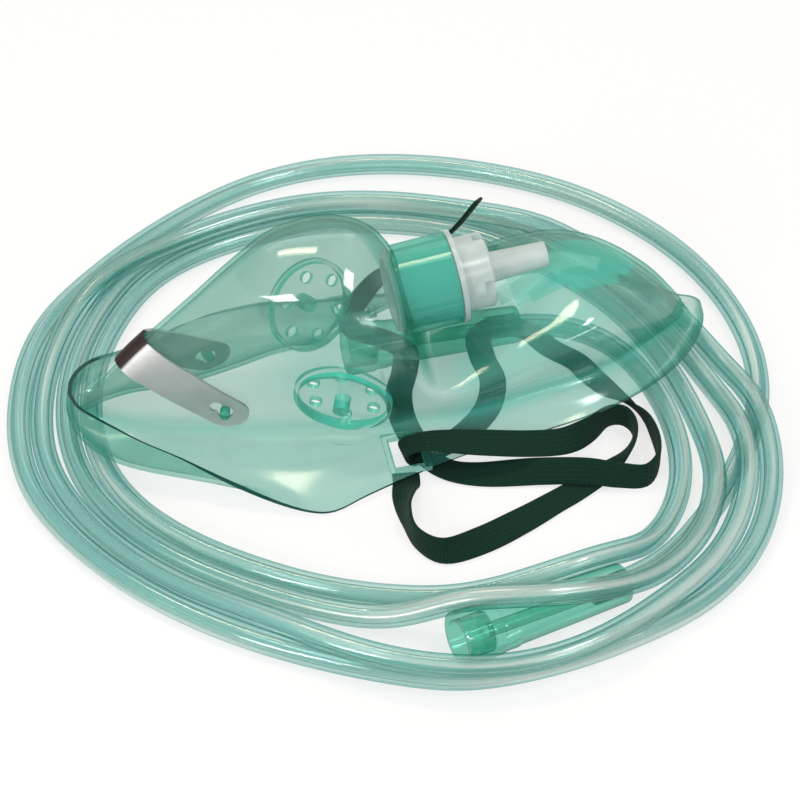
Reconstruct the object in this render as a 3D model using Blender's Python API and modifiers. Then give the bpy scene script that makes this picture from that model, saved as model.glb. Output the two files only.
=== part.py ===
"""Oxygen face mask with its nose clip, swivelling connector, elastic strap and coiled tubing.

The mask lies open side down, nose towards -X and chin towards +X, with its ends on the tubing.
Lengths are in metres. The origin is on the table, under the middle of the mask.
"""
import math

import bmesh
import bpy
import numpy as np
from mathutils import Matrix, Vector
from mathutils.bvhtree import BVHTree

MM = 0.001
FIT_GAP = 0.3 * MM  # between pieces that touch

# Mask moulding
MASK_WALL = 1.2 * MM
MASK_SIDE = -1  # the side on which the thickness lies: outside the lines below
SPOKE_STEPS = 2  # sections to each stretch between the points of a line
MASK_ROWS = (2, 2, 2, 3, 3, 3)  # steps between one line of the moulding and the next
MASK_SHIFT = Vector((-1.9, 0.0, -0.6)) * MM  # puts the origin on the ground under the middle

# Lines along one half of the moulding, nose to chin, as x, y, z in millimetres
RIM = (
    (-76.5, 0.0, 17.0), (-75.4, 4.6, 17.0), (-72.4, 8.8, 16.8), (-68.0, 12.6, 15.6),
    (-62.0, 16.4, 13.0), (-54.0, 21.4, 10.4), (-44.5, 28.6, 7.0), (-35.0, 34.0, 3.6),
    (-27.0, 37.0, 1.2), (-21.0, 37.6, 0.6), (-13.0, 35.2, 1.2), (-3.0, 32.8, 2.1),
    (12.0, 30.0, 3.4), (28.0, 29.6, 5.6), (42.0, 29.4, 8.0), (52.0, 27.6, 9.2),
    (61.0, 24.2, 10.0), (69.0, 19.4, 10.6), (75.5, 13.2, 11.2), (79.6, 6.5, 11.6),
    (81.0, 0.0, 11.8),
)
ROLL = (
    (-77.2, 0.0, 11.0), (-76.2, 5.4, 9.6), (-73.6, 10.4, 8.4), (-69.0, 15.2, 7.4),
    (-63.0, 19.2, 6.8), (-54.0, 23.2, 5.8), (-44.0, 26.8, 4.4), (-34.0, 29.8, 3.1),
    (-27.0, 32.6, 2.3), (-20.0, 32.8, 2.1), (-12.0, 31.6, 2.4), (-3.0, 30.2, 2.9),
    (12.0, 28.2, 4.4), (28.0, 27.6, 6.6), (42.0, 27.2, 8.6), (52.0, 25.2, 9.4),
    (60.5, 22.0, 9.6), (68.5, 17.0, 9.4), (75.0, 11.0, 9.0), (79.2, 5.2, 8.8),
    (80.4, 0.0, 8.8),
)
GUTTER = (
    (-75.0, 0.0, 8.4), (-73.2, 3.8, 7.7), (-70.0, 7.8, 7.2), (-66.0, 11.0, 6.8),
    (-60.0, 14.0, 6.2), (-52.0, 17.2, 5.4), (-43.0, 20.0, 4.9), (-34.0, 22.6, 4.6),
    (-26.0, 24.6, 4.4), (-19.0, 25.6, 4.3), (-12.0, 25.2, 4.1), (-3.0, 24.2, 4.2),
    (12.0, 25.0, 5.8), (27.0, 25.4, 8.6), (41.0, 24.6, 10.2), (51.0, 22.2, 10.8),
    (59.5, 18.6, 10.8), (67.0, 13.6, 9.8), (73.5, 7.8, 8.4), (77.0, 3.6, 8.0),
    (78.2, 0.0, 8.0),
)
CREASE = (
    (-73.4, 0.0, 11.0), (-70.5, 1.8, 10.2), (-66.5, 3.6, 9.6), (-60.5, 5.6, 8.6),
    (-52.5, 7.2, 6.8), (-44.0, 8.6, 6.2), (-34.0, 10.8, 6.0), (-25.0, 12.8, 6.3),
    (-15.0, 14.4, 6.0), (-7.0, 17.6, 6.2), (-1.5, 18.4, 7.0), (3.0, 19.2, 8.2),
    (9.0, 20.8, 9.2), (20.0, 21.6, 10.2), (32.0, 20.8, 11.6), (44.0, 19.6, 12.6),
    (52.0, 17.2, 12.9), (60.0, 13.2, 12.6), (67.0, 8.6, 12.0), (73.0, 4.0, 10.8),
    (76.4, 0.0, 10.0),
)
WALL = (
    (-72.6, 0.0, 13.0), (-69.5, 1.3, 13.4), (-65.5, 2.5, 15.0), (-60.0, 3.4, 17.5),
    (-52.0, 4.9, 20.0), (-44.0, 6.8, 22.0), (-34.0, 10.4, 24.0), (-24.5, 15.0, 26.5),
    (-14.5, 19.4, 28.0), (-6.5, 22.6, 28.0), (-1.0, 21.6, 26.0), (3.0, 20.6, 20.0),
    (8.5, 21.4, 15.4), (20.0, 22.0, 16.2), (32.0, 21.6, 18.0), (44.0, 20.6, 19.2),
    (52.0, 18.4, 19.2), (60.0, 14.6, 18.2), (67.0, 9.8, 16.0), (72.6, 4.6, 12.8),
    (75.8, 0.0, 11.2),
)
SHOULDER = (
    (-72.0, 0.0, 14.2), (-69.0, 0.8, 15.8), (-65.0, 1.5, 19.6), (-59.5, 2.2, 24.2),
    (-52.0, 3.2, 29.0), (-44.0, 4.8, 34.5), (-34.0, 8.2, 40.4), (-24.0, 13.2, 43.6),
    (-14.0, 17.6, 42.2), (-6.0, 19.0, 39.6), (-0.5, 18.0, 36.0), (3.0, 17.4, 28.0),
    (8.2, 17.8, 16.8), (19.0, 18.2, 19.0), (32.0, 17.8, 24.4), (44.0, 17.0, 26.8),
    (52.0, 15.2, 26.6), (60.0, 11.8, 24.2), (67.0, 7.6, 19.8), (72.3, 3.5, 14.4),
    (75.2, 0.0, 12.2),
)
CREST = (
    (-71.5, 0.0, 15.2), (-68.5, 0.0, 18.0), (-64.5, 0.0, 22.0), (-59.0, 0.0, 27.6),
    (-52.0, 0.0, 33.6), (-44.0, 0.0, 40.0), (-34.0, 0.0, 47.4), (-24.0, 0.0, 51.6),
    (-14.0, 0.0, 52.4), (-6.0, 0.0, 51.0), (0.0, 0.0, 46.2), (3.6, 0.0, 37.6),
    (8.6, 0.0, 17.6), (19.0, 0.0, 19.2), (32.0, 0.0, 24.8), (44.0, 0.0, 30.4),
    (52.0, 0.0, 30.6), (60.0, 0.0, 28.2), (67.0, 0.0, 23.4), (72.2, 0.0, 17.0),
    (74.8, 0.0, 13.2),
)
LINES = (RIM, ROLL, GUTTER, CREASE, WALL, SHOULDER, CREST)

# Port for the connector
PORT_BASE = Vector((4.5, 0.0, 31.4)) * MM
PORT_RISE = math.radians(6.0)
PORT_AXIS = Vector((math.cos(PORT_RISE), 0.0, math.sin(PORT_RISE)))
PORT_DIAMETER = 22.0 * MM
PORT_BORE = 19.5 * MM
PORT_LENGTH = 10.4 * MM
PORT_ROOT = 3.4 * MM  # how far the collar reaches back through the dome's front wall

# Vent discs, one on each side
VENT_CENTRE = Vector((-16.2, 17.6, 15.8)) * MM
VENT_NORMAL = Vector((-0.385, 0.89, -0.26)).normalized()
VENT_DIAMETER = 23.4 * MM
VENT_RING = 1.1 * MM  # width of the raised ring round the disc
VENT_RING_HEIGHT = 2.8 * MM
VENT_PLATE = 1.2 * MM
VENT_SINK = 0.7 * MM  # how far the plate lies below the wall round it
VENT_HOLES = 6
VENT_HOLE_DIAMETER = 3.0 * MM
VENT_HOLE_CIRCLE = 16.0 * MM
STUD_DIAMETER = 3.8 * MM
STUD_LENGTH = 4.0 * MM

# Strap pads on the flange, one on each side
PAD_CENTRE = Vector((-3.2, 26.8, 4.1)) * MM
PAD_SIZE = Vector((10.0, 11.0, 1.8)) * MM
PAD_SLOT = Vector((7.2, 8.4, 12.0)) * MM
PAD_TILT = math.radians(12.0)

# Nose clip, a strip folded over the ridge. The fold's x and z, then directions in the x-z plane
CLIP_FOLD = Vector((-62.1, 0.0, 26.4)) * MM
CLIP_DOWN = (0.795, -0.607)
CLIP_ACROSS = (0.607, 0.795)
CLIP_LENGTH = 29.5 * MM  # of one half, in the x-z plane
CLIP_STATIONS = (0.0, 0.02, 0.05, 0.1, 0.18, 0.3, 0.45, 0.6, 0.72, 0.85, 0.9, 0.94, 0.97, 0.99, 1.0)
CLIP_WIDTH = 9.2 * MM
CLIP_GAP = 0.5 * MM
CLIP_THICKNESS = 0.7 * MM
CLIP_SIDE = 1  # the side on which the strip's thickness lies
CLIP_HOLE_DIAMETER = 3.8 * MM
CLIP_HOLE_FROM_END = 5.2 * MM
CLIP_SLOT = 2.6 * MM  # from the round hole to the narrow end of the keyhole
POST_DIAMETER = 2.4 * MM
POST_LENGTH = 3.0 * MM

# Swivelling connector
FLANGE_DIAMETER = 22.6 * MM
FLANGE_THICKNESS = 1.2 * MM
SPIGOT_WALL = 1.2 * MM
HUB_DIAMETER = 18.0 * MM
HUB_LENGTH = 7.4 * MM
HUB_EDGE = 0.5 * MM
HUB_NOTCHES = 4
HUB_NOTCH = Vector((3.0, 1.6, 2.6)) * MM
STEM_ROOT_DIAMETER = 7.4 * MM
STEM_TIP_DIAMETER = 6.1 * MM
STEM_LENGTH = 14.4 * MM
STEM_BORE = 3.2 * MM
SNAP_LIP = 0.5 * MM  # how far the lip inside the dome stands out past the bore
LIP_LENGTH = 1.2 * MM

# Tubing
TUBE_DIAMETER = 5.5 * MM
COIL_CENTRE = Vector((-1.1, -14.5, 0.0)) * MM
COIL_SECTIONS = 120
COIL_EDGE = 1.2  # mm, bevel along the coil's edges
# Degrees clockwise from the chin end seen from above, inner and outer radius and height in mm
COIL = (
    (0, 65.6, 83.8, 5.6), (6, 60.4, 85.6, 5.8), (15, 63.2, 88.6, 6.5), (30, 66.8, 93.6, 8.0),
    (45, 69.4, 93.8, 8.0), (50, 73.2, 93.2, 8.0), (55, 80.4, 92.6, 8.0), (60, 82.8, 91.0, 8.6),
    (75, 82.4, 89.2, 10.4), (90, 82.2, 89.0, 10.6), (105, 76.6, 83.4, 10.4), (118, 72.6, 80.6, 9.0),
    (122, 54.8, 80.2, 8.0), (140, 57.0, 79.6, 8.0), (150, 59.4, 82.4, 6.0), (165, 64.6, 87.6, 5.8),
    (180, 70.9, 92.2, 5.6), (195, 74.0, 94.0, 5.6), (210, 76.2, 96.4, 6.0), (217, 78.0, 91.4, 7.0),
    (240, 80.2, 91.2, 10.4), (270, 75.3, 86.8, 10.4), (300, 70.8, 82.0, 10.0), (330, 65.4, 81.8, 5.8),
    (354, 65.4, 83.2, 5.6), (360, 65.6, 83.8, 5.6),
)
# Free stretches of tubing, as degrees clockwise, radius and height of the middle in mm
OUTER_RUN = (
    (217.5, 94.8, 2.8), (223, 94.7, 2.8), (232, 94.6, 2.8), (241, 95.2, 2.8), (253, 97.6, 2.8),
    (262, 99.9, 2.8), (270, 100.6, 2.8), (278, 101.1, 2.8), (292, 99.3, 2.8), (310, 98.7, 2.8),
    (326, 96.9, 2.8), (340, 94.9, 2.8), (353, 92.2, 2.8), (360, 90.6, 2.8), (363.6, 89.4, 2.8),
)
INNER_RUN = (
    (51.5, 70.0, 2.8), (54, 70.6, 4.4), (57.5, 71.0, 10.4), (63, 70.2, 14.0), (70, 68.0, 14.6),
    (77, 64.8, 12.6), (85, 61.8, 7.6), (93, 59.2, 3.8), (102, 57.6, 2.8), (111, 57.2, 2.8),
    (119.4, 57.4, 2.8),
)
MIDDLE_RUN = (
    (62.0, 79.8, 9.4), (66, 78.4, 13.4), (73, 75.6, 15.8), (80, 73.2, 16.2), (87, 70.8, 16.2),
    (93, 68.2, 16.0), (99, 66.4, 9.8), (105, 65.2, 4.4), (111, 64.6, 2.8), (117.0, 64.2, 2.8),
)
CHIN_RUN = (  # x, y, z in mm, from the connector under the chin dome
    (34.8, 7.6, 6.8), (40.5, 7.4, 6.2), (47.5, 5.4, 5.0), (54.0, 1.2, 4.0), (58.8, -4.8, 3.0),
    (60.8, -10.4, 2.8), (61.2, -15.2, 2.8),
)

# Tubing connectors, each a long cup on the end of the tube
CUP_DIAMETER = 13.0 * MM
CUP_BORE = 9.4 * MM
CUP_DEPTH = 7.0 * MM
CUP_PROFILE = (  # distance from the mouth and diameter in mm
    (0.0, 13.0), (6.4, 12.8), (6.8, 12.0), (9.6, 12.0), (10.0, 11.5), (13.4, 11.4), (14.2, 10.8),
    (30.0, 10.0), (43.6, 9.2), (44.0, 8.6),
)
CUP_SOCKET = 5.6 * MM
CUP_SOCKET_DEPTH = 8.0 * MM
FLOWMETER_END = (Vector((-7.6, -88.4, 6.6)) * MM, Vector((33.2, -79.5, 4.8)) * MM)
MASK_END = (Vector((-9.6, 7.6, 8.2)) * MM, Vector((34.2, 7.6, 6.8)) * MM)

# Elastic strap, from its tail on the far side to its end on the near side, in mm
STRAP_WIDTH = 6.5 * MM
STRAP_THICKNESS = 0.9 * MM
STRAP = (
    (29.4, 28.0, 31.0), (22.6, 28.0, 22.4), (12.0, 28.8, 13.8), (4.4, 28.6, 11.0), (-1.4, 27.0, 6.0),
    (-3.8, 25.8, 2.2), (-3.6, 21.8, 0.8), (2.0, 17.2, 0.8), (6.4, 11.4, 0.8), (4.4, 4.0, 0.8),
    (1.2, -3.0, 0.8), (-0.2, -12.0, 0.8), (1.0, -22.0, 0.8), (4.6, -30.4, 0.8), (12.1, -35.4, 0.8),
    (25.8, -39.6, 0.8), (39.5, -46.0, 0.8), (49.6, -48.2, 0.8), (54.8, -41.6, 0.8), (55.6, -31.6, 0.8),
    (54.0, -23.6, 0.8), (51.2, -16.0, 0.8), (48.4, -8.7, 0.8), (46.4, -3.0, 0.8), (41.6, 3.4, 0.8),
    (38.2, 10.4, 0.8), (32.0, 14.6, 0.8), (25.8, 12.0, 0.8), (24.4, 4.0, 0.8), (24.6, -4.4, 0.8),
    (20.8, -13.4, 0.8), (13.6, -20.6, 1.3), (6.4, -24.8, 2.1), (-1.2, -26.4, 2.0), (-3.9, -26.6, 4.0),
    (-3.0, -27.0, 6.4), (0.6, -28.4, 8.4), (5.4, -30.2, 9.0), (13.7, -32.4, 8.0), (24.0, -35.2, 7.0),
    (34.0, -35.6, 5.8), (42.0, -31.4, 4.6), (47.4, -27.6, 4.0), (51.0, -28.6, 3.6), (51.8, -33.0, 3.2),
    (48.4, -37.6, 3.0), (41.1, -41.7, 2.8), (33.0, -45.6, 2.6), (26.5, -48.4, 2.2), (18.2, -51.9, 1.0),
    (7.3, -55.4, 0.8), (-2.6, -56.6, 0.8), (-7.2, -52.2, 0.8), (-7.4, -44.9, 0.8), (-5.6, -37.4, 0.8),
)


def curve_point(a, b, c, d, t):
    """A point between b and c, at t from 0 to 1, on a smooth curve through all four."""
    return 0.5 * (2 * b + (c - a) * t + (2 * a - 5 * b + 4 * c - d) * t**2 + (3 * b - a - 3 * c + d) * t**3)


def smooth_line(points, steps):
    """Points on a smooth curve through the given ones, steps to each stretch."""
    p = np.asarray(points, float)
    beyond = np.vstack([2 * p[0] - p[1], p, 2 * p[-1] - p[-2]])
    line = []
    for a, b, c, d in zip(beyond, beyond[1:], beyond[2:], beyond[3:]):
        line += [curve_point(a, b, c, d, t) for t in np.linspace(0, 1, steps, endpoint=False)]
    line.append(p[-1])
    return np.array(line)


def add_object(name, collection, mesh, material=None):
    obj = bpy.data.objects.new(name, mesh)
    collection.objects.link(obj)
    if material:
        mesh.materials.append(material)
    return obj


def make_material(name, colour, roughness):
    material = bpy.data.materials.new(name)
    material.use_nodes = True
    shader = material.node_tree.nodes["Principled BSDF"]
    shader.inputs["Base Color"].default_value = (*colour, 1.0)
    shader.inputs["Roughness"].default_value = roughness
    return material


def mesh_from(bm, name):
    bmesh.ops.recalc_face_normals(bm, faces=bm.faces)
    mesh = bpy.data.meshes.new(name)
    bm.to_mesh(mesh)
    bm.free()
    return mesh


def along(direction, point):
    """Matrix that puts an object's own Z along a direction at a point."""
    return Matrix.Translation(point) @ Vector(direction).to_track_quat("Z", "Y").to_matrix().to_4x4()


def add_cylinder(bm, start, end, diameter, direction, point, sides=48):
    """A round bar from start to end along a direction through a point."""
    bmesh.ops.create_cone(
        bm, cap_ends=True, segments=sides, radius1=diameter / 2, radius2=diameter / 2,
        depth=end - start, matrix=along(direction, point) @ Matrix.Translation((0, 0, (start + end) / 2)),
    )


def add_box(bm, size, matrix):
    bmesh.ops.create_cube(bm, size=1.0, matrix=matrix @ Matrix.Diagonal((*size, 1.0)))


def add_boolean(obj, operation, bm, name, own_crossings=False):
    """Give obj a Boolean modifier with a hidden object made from bm."""
    cutter = add_object(name, cutters, mesh_from(bm, name))
    cutter.hide_render = True
    cutter.display_type = "WIRE"
    modifier = obj.modifiers.new(name, "BOOLEAN")
    modifier.operation = operation
    modifier.solver = "EXACT"
    modifier.object = cutter
    modifier.use_self = own_crossings


def add_mirror(obj):
    modifier = obj.modifiers.new("mirror", "MIRROR")
    modifier.use_axis = (False, True, False)
    modifier.merge_threshold = 0.00002


def add_wall(obj, thickness, offset):
    modifier = obj.modifiers.new("wall", "SOLIDIFY")
    modifier.thickness = thickness
    modifier.offset = offset
    modifier.use_even_offset = True


def moulding_grid(spoke_steps, row_steps):
    """Points of one half of the moulding's outer surface, as spokes by rows by xyz in metres."""
    lines = [smooth_line(line, spoke_steps) for line in LINES]
    grid = []
    for spoke in zip(*lines):
        spoke = np.array(spoke)
        beyond = np.vstack([2 * spoke[0] - spoke[1], spoke, spoke[-2] * (1, -1, 1)])
        row = []
        for steps, a, b, c, d in zip(row_steps, beyond, beyond[1:], beyond[2:], beyond[3:]):
            for t in np.linspace(0, 1, steps, endpoint=False):
                row.append(curve_point(a, b, c, d, t))
        row.append(spoke[-1])
        grid.append(row)
    grid = np.array(grid)
    grid[:, -1, 1] = grid[0, :, 1] = grid[-1, :, 1] = 0.0
    return grid * MM + np.array(MASK_SHIFT)


def add_grid(bm, grid):
    """Quads over a grid of points."""
    verts = [[bm.verts.new(p) for p in row] for row in grid]
    for a, b in zip(verts, verts[1:]):
        for i in range(len(a) - 1):
            bm.faces.new((a[i], a[i + 1], b[i + 1], b[i]))


def side(vector, sign):
    return Vector((vector[0], vector[1] * sign, vector[2]))


def make_mask_shell():
    bm = bmesh.new()
    add_grid(bm, moulding_grid(SPOKE_STEPS, MASK_ROWS))
    shell = add_object("mask_shell", parts, mesh_from(bm, "mask_shell"), clear_green)
    add_mirror(shell)
    add_wall(shell, MASK_WALL, MASK_SIDE)

    extra = bmesh.new()
    add_cylinder(extra, -PORT_ROOT, PORT_LENGTH, PORT_DIAMETER, PORT_AXIS, PORT_BASE, 64)
    cut = bmesh.new()
    add_cylinder(cut, -PORT_ROOT - 4 * MM, PORT_LENGTH + 2 * MM, PORT_BORE, PORT_AXIS, PORT_BASE, 64)
    pins = bmesh.new()
    for sign in (1, -1):
        centre, normal = side(VENT_CENTRE, sign), side(VENT_NORMAL, sign)
        low, high = -VENT_PLATE - VENT_SINK, VENT_RING_HEIGHT - VENT_PLATE - VENT_SINK
        add_cylinder(extra, low, high, VENT_DIAMETER, normal, centre)
        add_cylinder(cut, -VENT_SINK, 6 * MM, VENT_DIAMETER - 2 * VENT_RING, normal, centre)
        frame = along(normal, centre)
        for i in range(VENT_HOLES):
            angle = math.tau * (i + 0.5) / VENT_HOLES
            spot = Vector((math.cos(angle), math.sin(angle), 0)) * VENT_HOLE_CIRCLE / 2
            add_cylinder(cut, -7 * MM, 2 * MM, VENT_HOLE_DIAMETER, normal, frame @ spot, 20)
        add_cylinder(pins, -VENT_SINK - VENT_PLATE / 2, STUD_LENGTH - VENT_SINK, STUD_DIAMETER, normal, centre, 24)
        pad = Matrix.Translation(side(PAD_CENTRE, sign)) @ Matrix.Rotation(-sign * PAD_TILT, 4, "X")
        add_box(extra, PAD_SIZE, pad)
        add_box(cut, PAD_SLOT, pad)
        point, normal, _ = clip_frame(CLIP_LENGTH - CLIP_HOLE_FROM_END, sign)
        add_cylinder(pins, MASK_WALL / 2, MASK_WALL + POST_LENGTH, POST_DIAMETER, normal, point, 20)
    add_boolean(shell, "UNION", extra, "collar_rings_and_pads", True)
    add_boolean(shell, "DIFFERENCE", cut, "bore_holes_and_slots", True)
    add_boolean(shell, "UNION", pins, "studs_and_posts")


def crest_point(spot, ridge):
    """Where a line through an x-z point, down the clip's length, crosses the ridge line."""
    offsets = (ridge - spot) @ np.array(CLIP_ACROSS)
    k = int(np.argmax(offsets > 0)) - 1
    return ridge[k] - (ridge[k + 1] - ridge[k]) * offsets[k] / (offsets[k + 1] - offsets[k])


def clip_grid():
    """Points on the moulding under one half of the clip, with rows across it."""
    bm = bmesh.new()
    moulding = moulding_grid(6, [2 * n for n in MASK_ROWS])
    add_grid(bm, moulding)
    tree = BVHTree.FromBMesh(bm)
    bm.free()
    ridge = moulding[:, -1, :][:, (0, 2)]
    grid = []
    for s in CLIP_STATIONS:
        s = s * CLIP_LENGTH
        past = max(0.0, 2 * (s - CLIP_LENGTH) / CLIP_WIDTH + 1)
        half = CLIP_WIDTH / 2 * math.sqrt(1 - min(past, 0.97) ** 2)
        row = []
        for w in np.linspace(-half, half, 7):
            top = crest_point(np.array((CLIP_FOLD[0], CLIP_FOLD[2])) + np.array(CLIP_ACROSS) * w, ridge)
            x, z = top + np.array(CLIP_DOWN) * s
            spot = Vector((x, 0.0, z)) if s == 0 else tree.ray_cast(Vector((x, 0, z)), Vector((0, 1, 0)))[0]
            row.append(tuple(spot))
        grid.append(row)
    return np.array(grid)


def raised(grid, height):
    """A grid moved out along its normals, and the normals. The first row is on the mirror plane."""
    beyond = np.concatenate([grid[1:2] * (1, -1, 1), grid, 2 * grid[-1:] - grid[-2:-1]])
    normal = np.cross(beyond[2:] - beyond[:-2], np.gradient(grid, axis=1))
    normal /= np.linalg.norm(normal, axis=2, keepdims=True)
    if normal[len(grid) // 2, 3, 1] < 0:
        normal = -normal
    return grid + normal * height, normal


def clip_frame(distance, sign):
    """Point, normal and direction of the clip's middle at a distance from its fold."""
    grid = under_clip
    _, normals = raised(grid, 0)
    s = [f * CLIP_LENGTH for f in CLIP_STATIONS]
    point = [np.interp(distance, s, grid[:, 3, i]) for i in range(3)]
    normal = [np.interp(distance, s, normals[:, 3, i]) for i in range(3)]
    ahead = [np.interp(distance + 1 * MM, s, grid[:, 3, i]) for i in range(3)]
    point, normal, ahead = (side(v, sign) for v in (point, normal, ahead))
    return point, normal.normalized(), (ahead - point).normalized()


def make_nose_clip():
    grid, _ = raised(under_clip, MASK_WALL + CLIP_GAP)
    grid[0, :, 1] = 0.0
    bm = bmesh.new()
    add_grid(bm, grid)
    mesh = bpy.data.meshes.new("nose_clip")
    bm.to_mesh(mesh)
    bm.free()
    clip = add_object("nose_clip", parts, mesh, dull_metal)
    add_mirror(clip)
    add_wall(clip, CLIP_THICKNESS, CLIP_SIDE)
    holes, slots = bmesh.new(), bmesh.new()
    for sign in (1, -1):
        point, normal, down = clip_frame(CLIP_LENGTH - CLIP_HOLE_FROM_END, sign)
        add_cylinder(holes, -1 * MM, 5 * MM, CLIP_HOLE_DIAMETER, normal, point, 24)
        add_cylinder(slots, -1 * MM, 5 * MM, CLIP_HOLE_DIAMETER * 0.8, normal, point - down * CLIP_SLOT, 24)
    add_boolean(clip, "DIFFERENCE", holes, "clip_holes")
    add_boolean(clip, "DIFFERENCE", slots, "clip_keyholes")


def make_turned(name, profile, point, direction, material, sides=64):
    """A solid of revolution. The profile is a closed loop of distance and radius."""
    bm = bmesh.new()
    frame = along(direction, point)
    rings = []
    for distance, radius in profile:
        angles = [math.tau * i / sides for i in range(sides)]
        spots = [frame @ Vector((radius * math.cos(a), radius * math.sin(a), distance)) for a in angles]
        rings.append([bm.verts.new(spot) for spot in spots])
    join_rings(bm, rings + rings[:1])
    return add_object(name, parts, mesh_from(bm, name), material)


def join_rings(bm, rings):
    for a, b in zip(rings, rings[1:]):
        for i in range(len(a)):
            j = (i + 1) % len(a)
            bm.faces.new((a[i], a[j], b[j], b[i]))


def make_swivel_connector():
    back = PORT_LENGTH + FIT_GAP
    front = back + FLANGE_THICKNESS
    hub_end = front + HUB_LENGTH
    tip = hub_end + STEM_LENGTH
    spigot = PORT_BORE / 2 - FIT_GAP
    root = -PORT_ROOT - FIT_GAP
    inside = spigot - SPIGOT_WALL
    hub = HUB_DIAMETER / 2
    profile = (
        (root - LIP_LENGTH, spigot), (root, PORT_BORE / 2 + SNAP_LIP), (root, spigot), (back, spigot),
        (back, FLANGE_DIAMETER / 2), (front, FLANGE_DIAMETER / 2), (front, hub),
        (hub_end - HUB_EDGE, hub), (hub_end, hub - HUB_EDGE), (hub_end, STEM_ROOT_DIAMETER / 2),
        (tip, STEM_TIP_DIAMETER / 2), (tip, STEM_BORE / 2), (hub_end - SPIGOT_WALL, STEM_BORE / 2),
        (front, inside), (root - LIP_LENGTH, inside),
    )
    connector = make_turned("swivel_connector", profile, PORT_BASE, PORT_AXIS, green_plastic)
    cut = bmesh.new()
    frame = along(PORT_AXIS, PORT_BASE)
    for i in range(HUB_NOTCHES):
        turn = Matrix.Rotation(math.tau * (i + 0.5) / HUB_NOTCHES, 4, "Z")
        place = Matrix.Translation((hub, 0, hub_end))
        add_box(cut, (2 * HUB_NOTCH[1], HUB_NOTCH[0], 2 * HUB_NOTCH[2]), frame @ turn @ place)
    add_boolean(connector, "DIFFERENCE", cut, "hub_notches")


def make_tubing_connector(name, ends):
    mouth, tail = ends
    length = (tail - mouth).length
    scale = length / (CUP_PROFILE[-1][0] * MM)
    outside = [(d * MM * scale, diameter / 2 * MM) for d, diameter in CUP_PROFILE]
    bore, socket, way = CUP_BORE / 2, CUP_SOCKET / 2, STEM_BORE / 2
    inside = [
        (length, socket), (length - CUP_SOCKET_DEPTH, socket), (length - CUP_SOCKET_DEPTH, way),
        (CUP_DEPTH, way), (CUP_DEPTH, bore), (0.0, bore),
    ]
    make_turned(name, outside + inside, mouth, tail - mouth, green_plastic, 40)


def polar(degrees, radius, height):
    """A point from its clockwise angle about the coil's centre, with lengths in mm."""
    angle = -math.radians(degrees)
    return Vector((radius * math.cos(angle), radius * math.sin(angle), height)) * MM + COIL_CENTRE


def make_coil():
    table = np.array(COIL, float)
    bm = bmesh.new()
    rings = []
    for degrees in np.linspace(0, 360, COIL_SECTIONS, endpoint=False):
        inner, outer, height = (np.interp(degrees, table[:, 0], table[:, i]) for i in (1, 2, 3))
        e = COIL_EDGE
        corners = (
            (inner + e, 0), (outer - e, 0), (outer, e), (outer, height - e),
            (outer - e, height), (inner + e, height), (inner, height - e), (inner, e),
        )
        rings.append([bm.verts.new(polar(degrees, r, z)) for r, z in corners])
    join_rings(bm, rings + rings[:1])
    add_object("tubing_coil", parts, mesh_from(bm, "tubing_coil"), clear_tubing)


def make_tube(name, points):
    """A round tube along a route given in metres."""
    route = smooth_line([tuple(p) for p in points], 2)
    curve = bpy.data.curves.new(name + "_route", "CURVE")
    curve.dimensions = "3D"
    curve.bevel_depth = TUBE_DIAMETER / 2
    curve.bevel_resolution = 2
    curve.use_fill_caps = True
    spline = curve.splines.new("POLY")
    spline.points.add(len(route) - 1)
    for point, spot in zip(spline.points, route):
        point.co = (*spot, 1.0)
    holder = bpy.data.objects.new(name + "_route", curve)
    solid = bpy.data.meshes.new_from_object(holder)
    bpy.data.objects.remove(holder)
    bm = bmesh.new()
    bm.from_mesh(solid)
    bpy.data.meshes.remove(solid)
    bmesh.ops.remove_doubles(bm, verts=bm.verts, dist=0.000001)
    add_object(name, parts, mesh_from(bm, name), clear_tubing)


def make_strap():
    """A flat band along the strap's route, whose width stays level."""
    route = smooth_line(STRAP, 3) * MM
    tangents = np.gradient(route, axis=0)
    tangents /= np.linalg.norm(tangents, axis=1, keepdims=True)
    width = np.array((0.0, 1.0, 0.0))
    bm = bmesh.new()
    rings = []
    for spot, tangent in zip(route, tangents):
        width = width - tangent * np.dot(width, tangent)
        width[2] = 0.0
        width /= np.linalg.norm(width)
        a, b = width * STRAP_WIDTH / 2, np.cross(tangent, width) * STRAP_THICKNESS / 2
        rings.append([bm.verts.new(spot + x * a + y * b) for x, y in ((-1, -1), (1, -1), (1, 1), (-1, 1))])
    join_rings(bm, rings)
    bm.faces.new(rings[0][::-1])
    bm.faces.new(rings[-1])
    add_object("head_strap", parts, mesh_from(bm, "head_strap"), dark_elastic)


def make_collection(name):
    collection = bpy.data.collections.new(name)
    bpy.context.scene.collection.children.link(collection)
    return collection


for old in list(bpy.data.objects):
    bpy.data.objects.remove(old)
parts = make_collection("oxygen_mask")
cutters = make_collection("cutters")

clear_green = make_material("clear_green_vinyl", (0.45, 0.72, 0.62), 0.12)
clear_tubing = make_material("clear_tubing_vinyl", (0.50, 0.75, 0.66), 0.12)
green_plastic = make_material("green_plastic", (0.30, 0.62, 0.48), 0.25)
dull_metal = make_material("dull_aluminium", (0.70, 0.69, 0.68), 0.35)
dark_elastic = make_material("dark_green_elastic", (0.09, 0.22, 0.16), 0.6)

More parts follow.
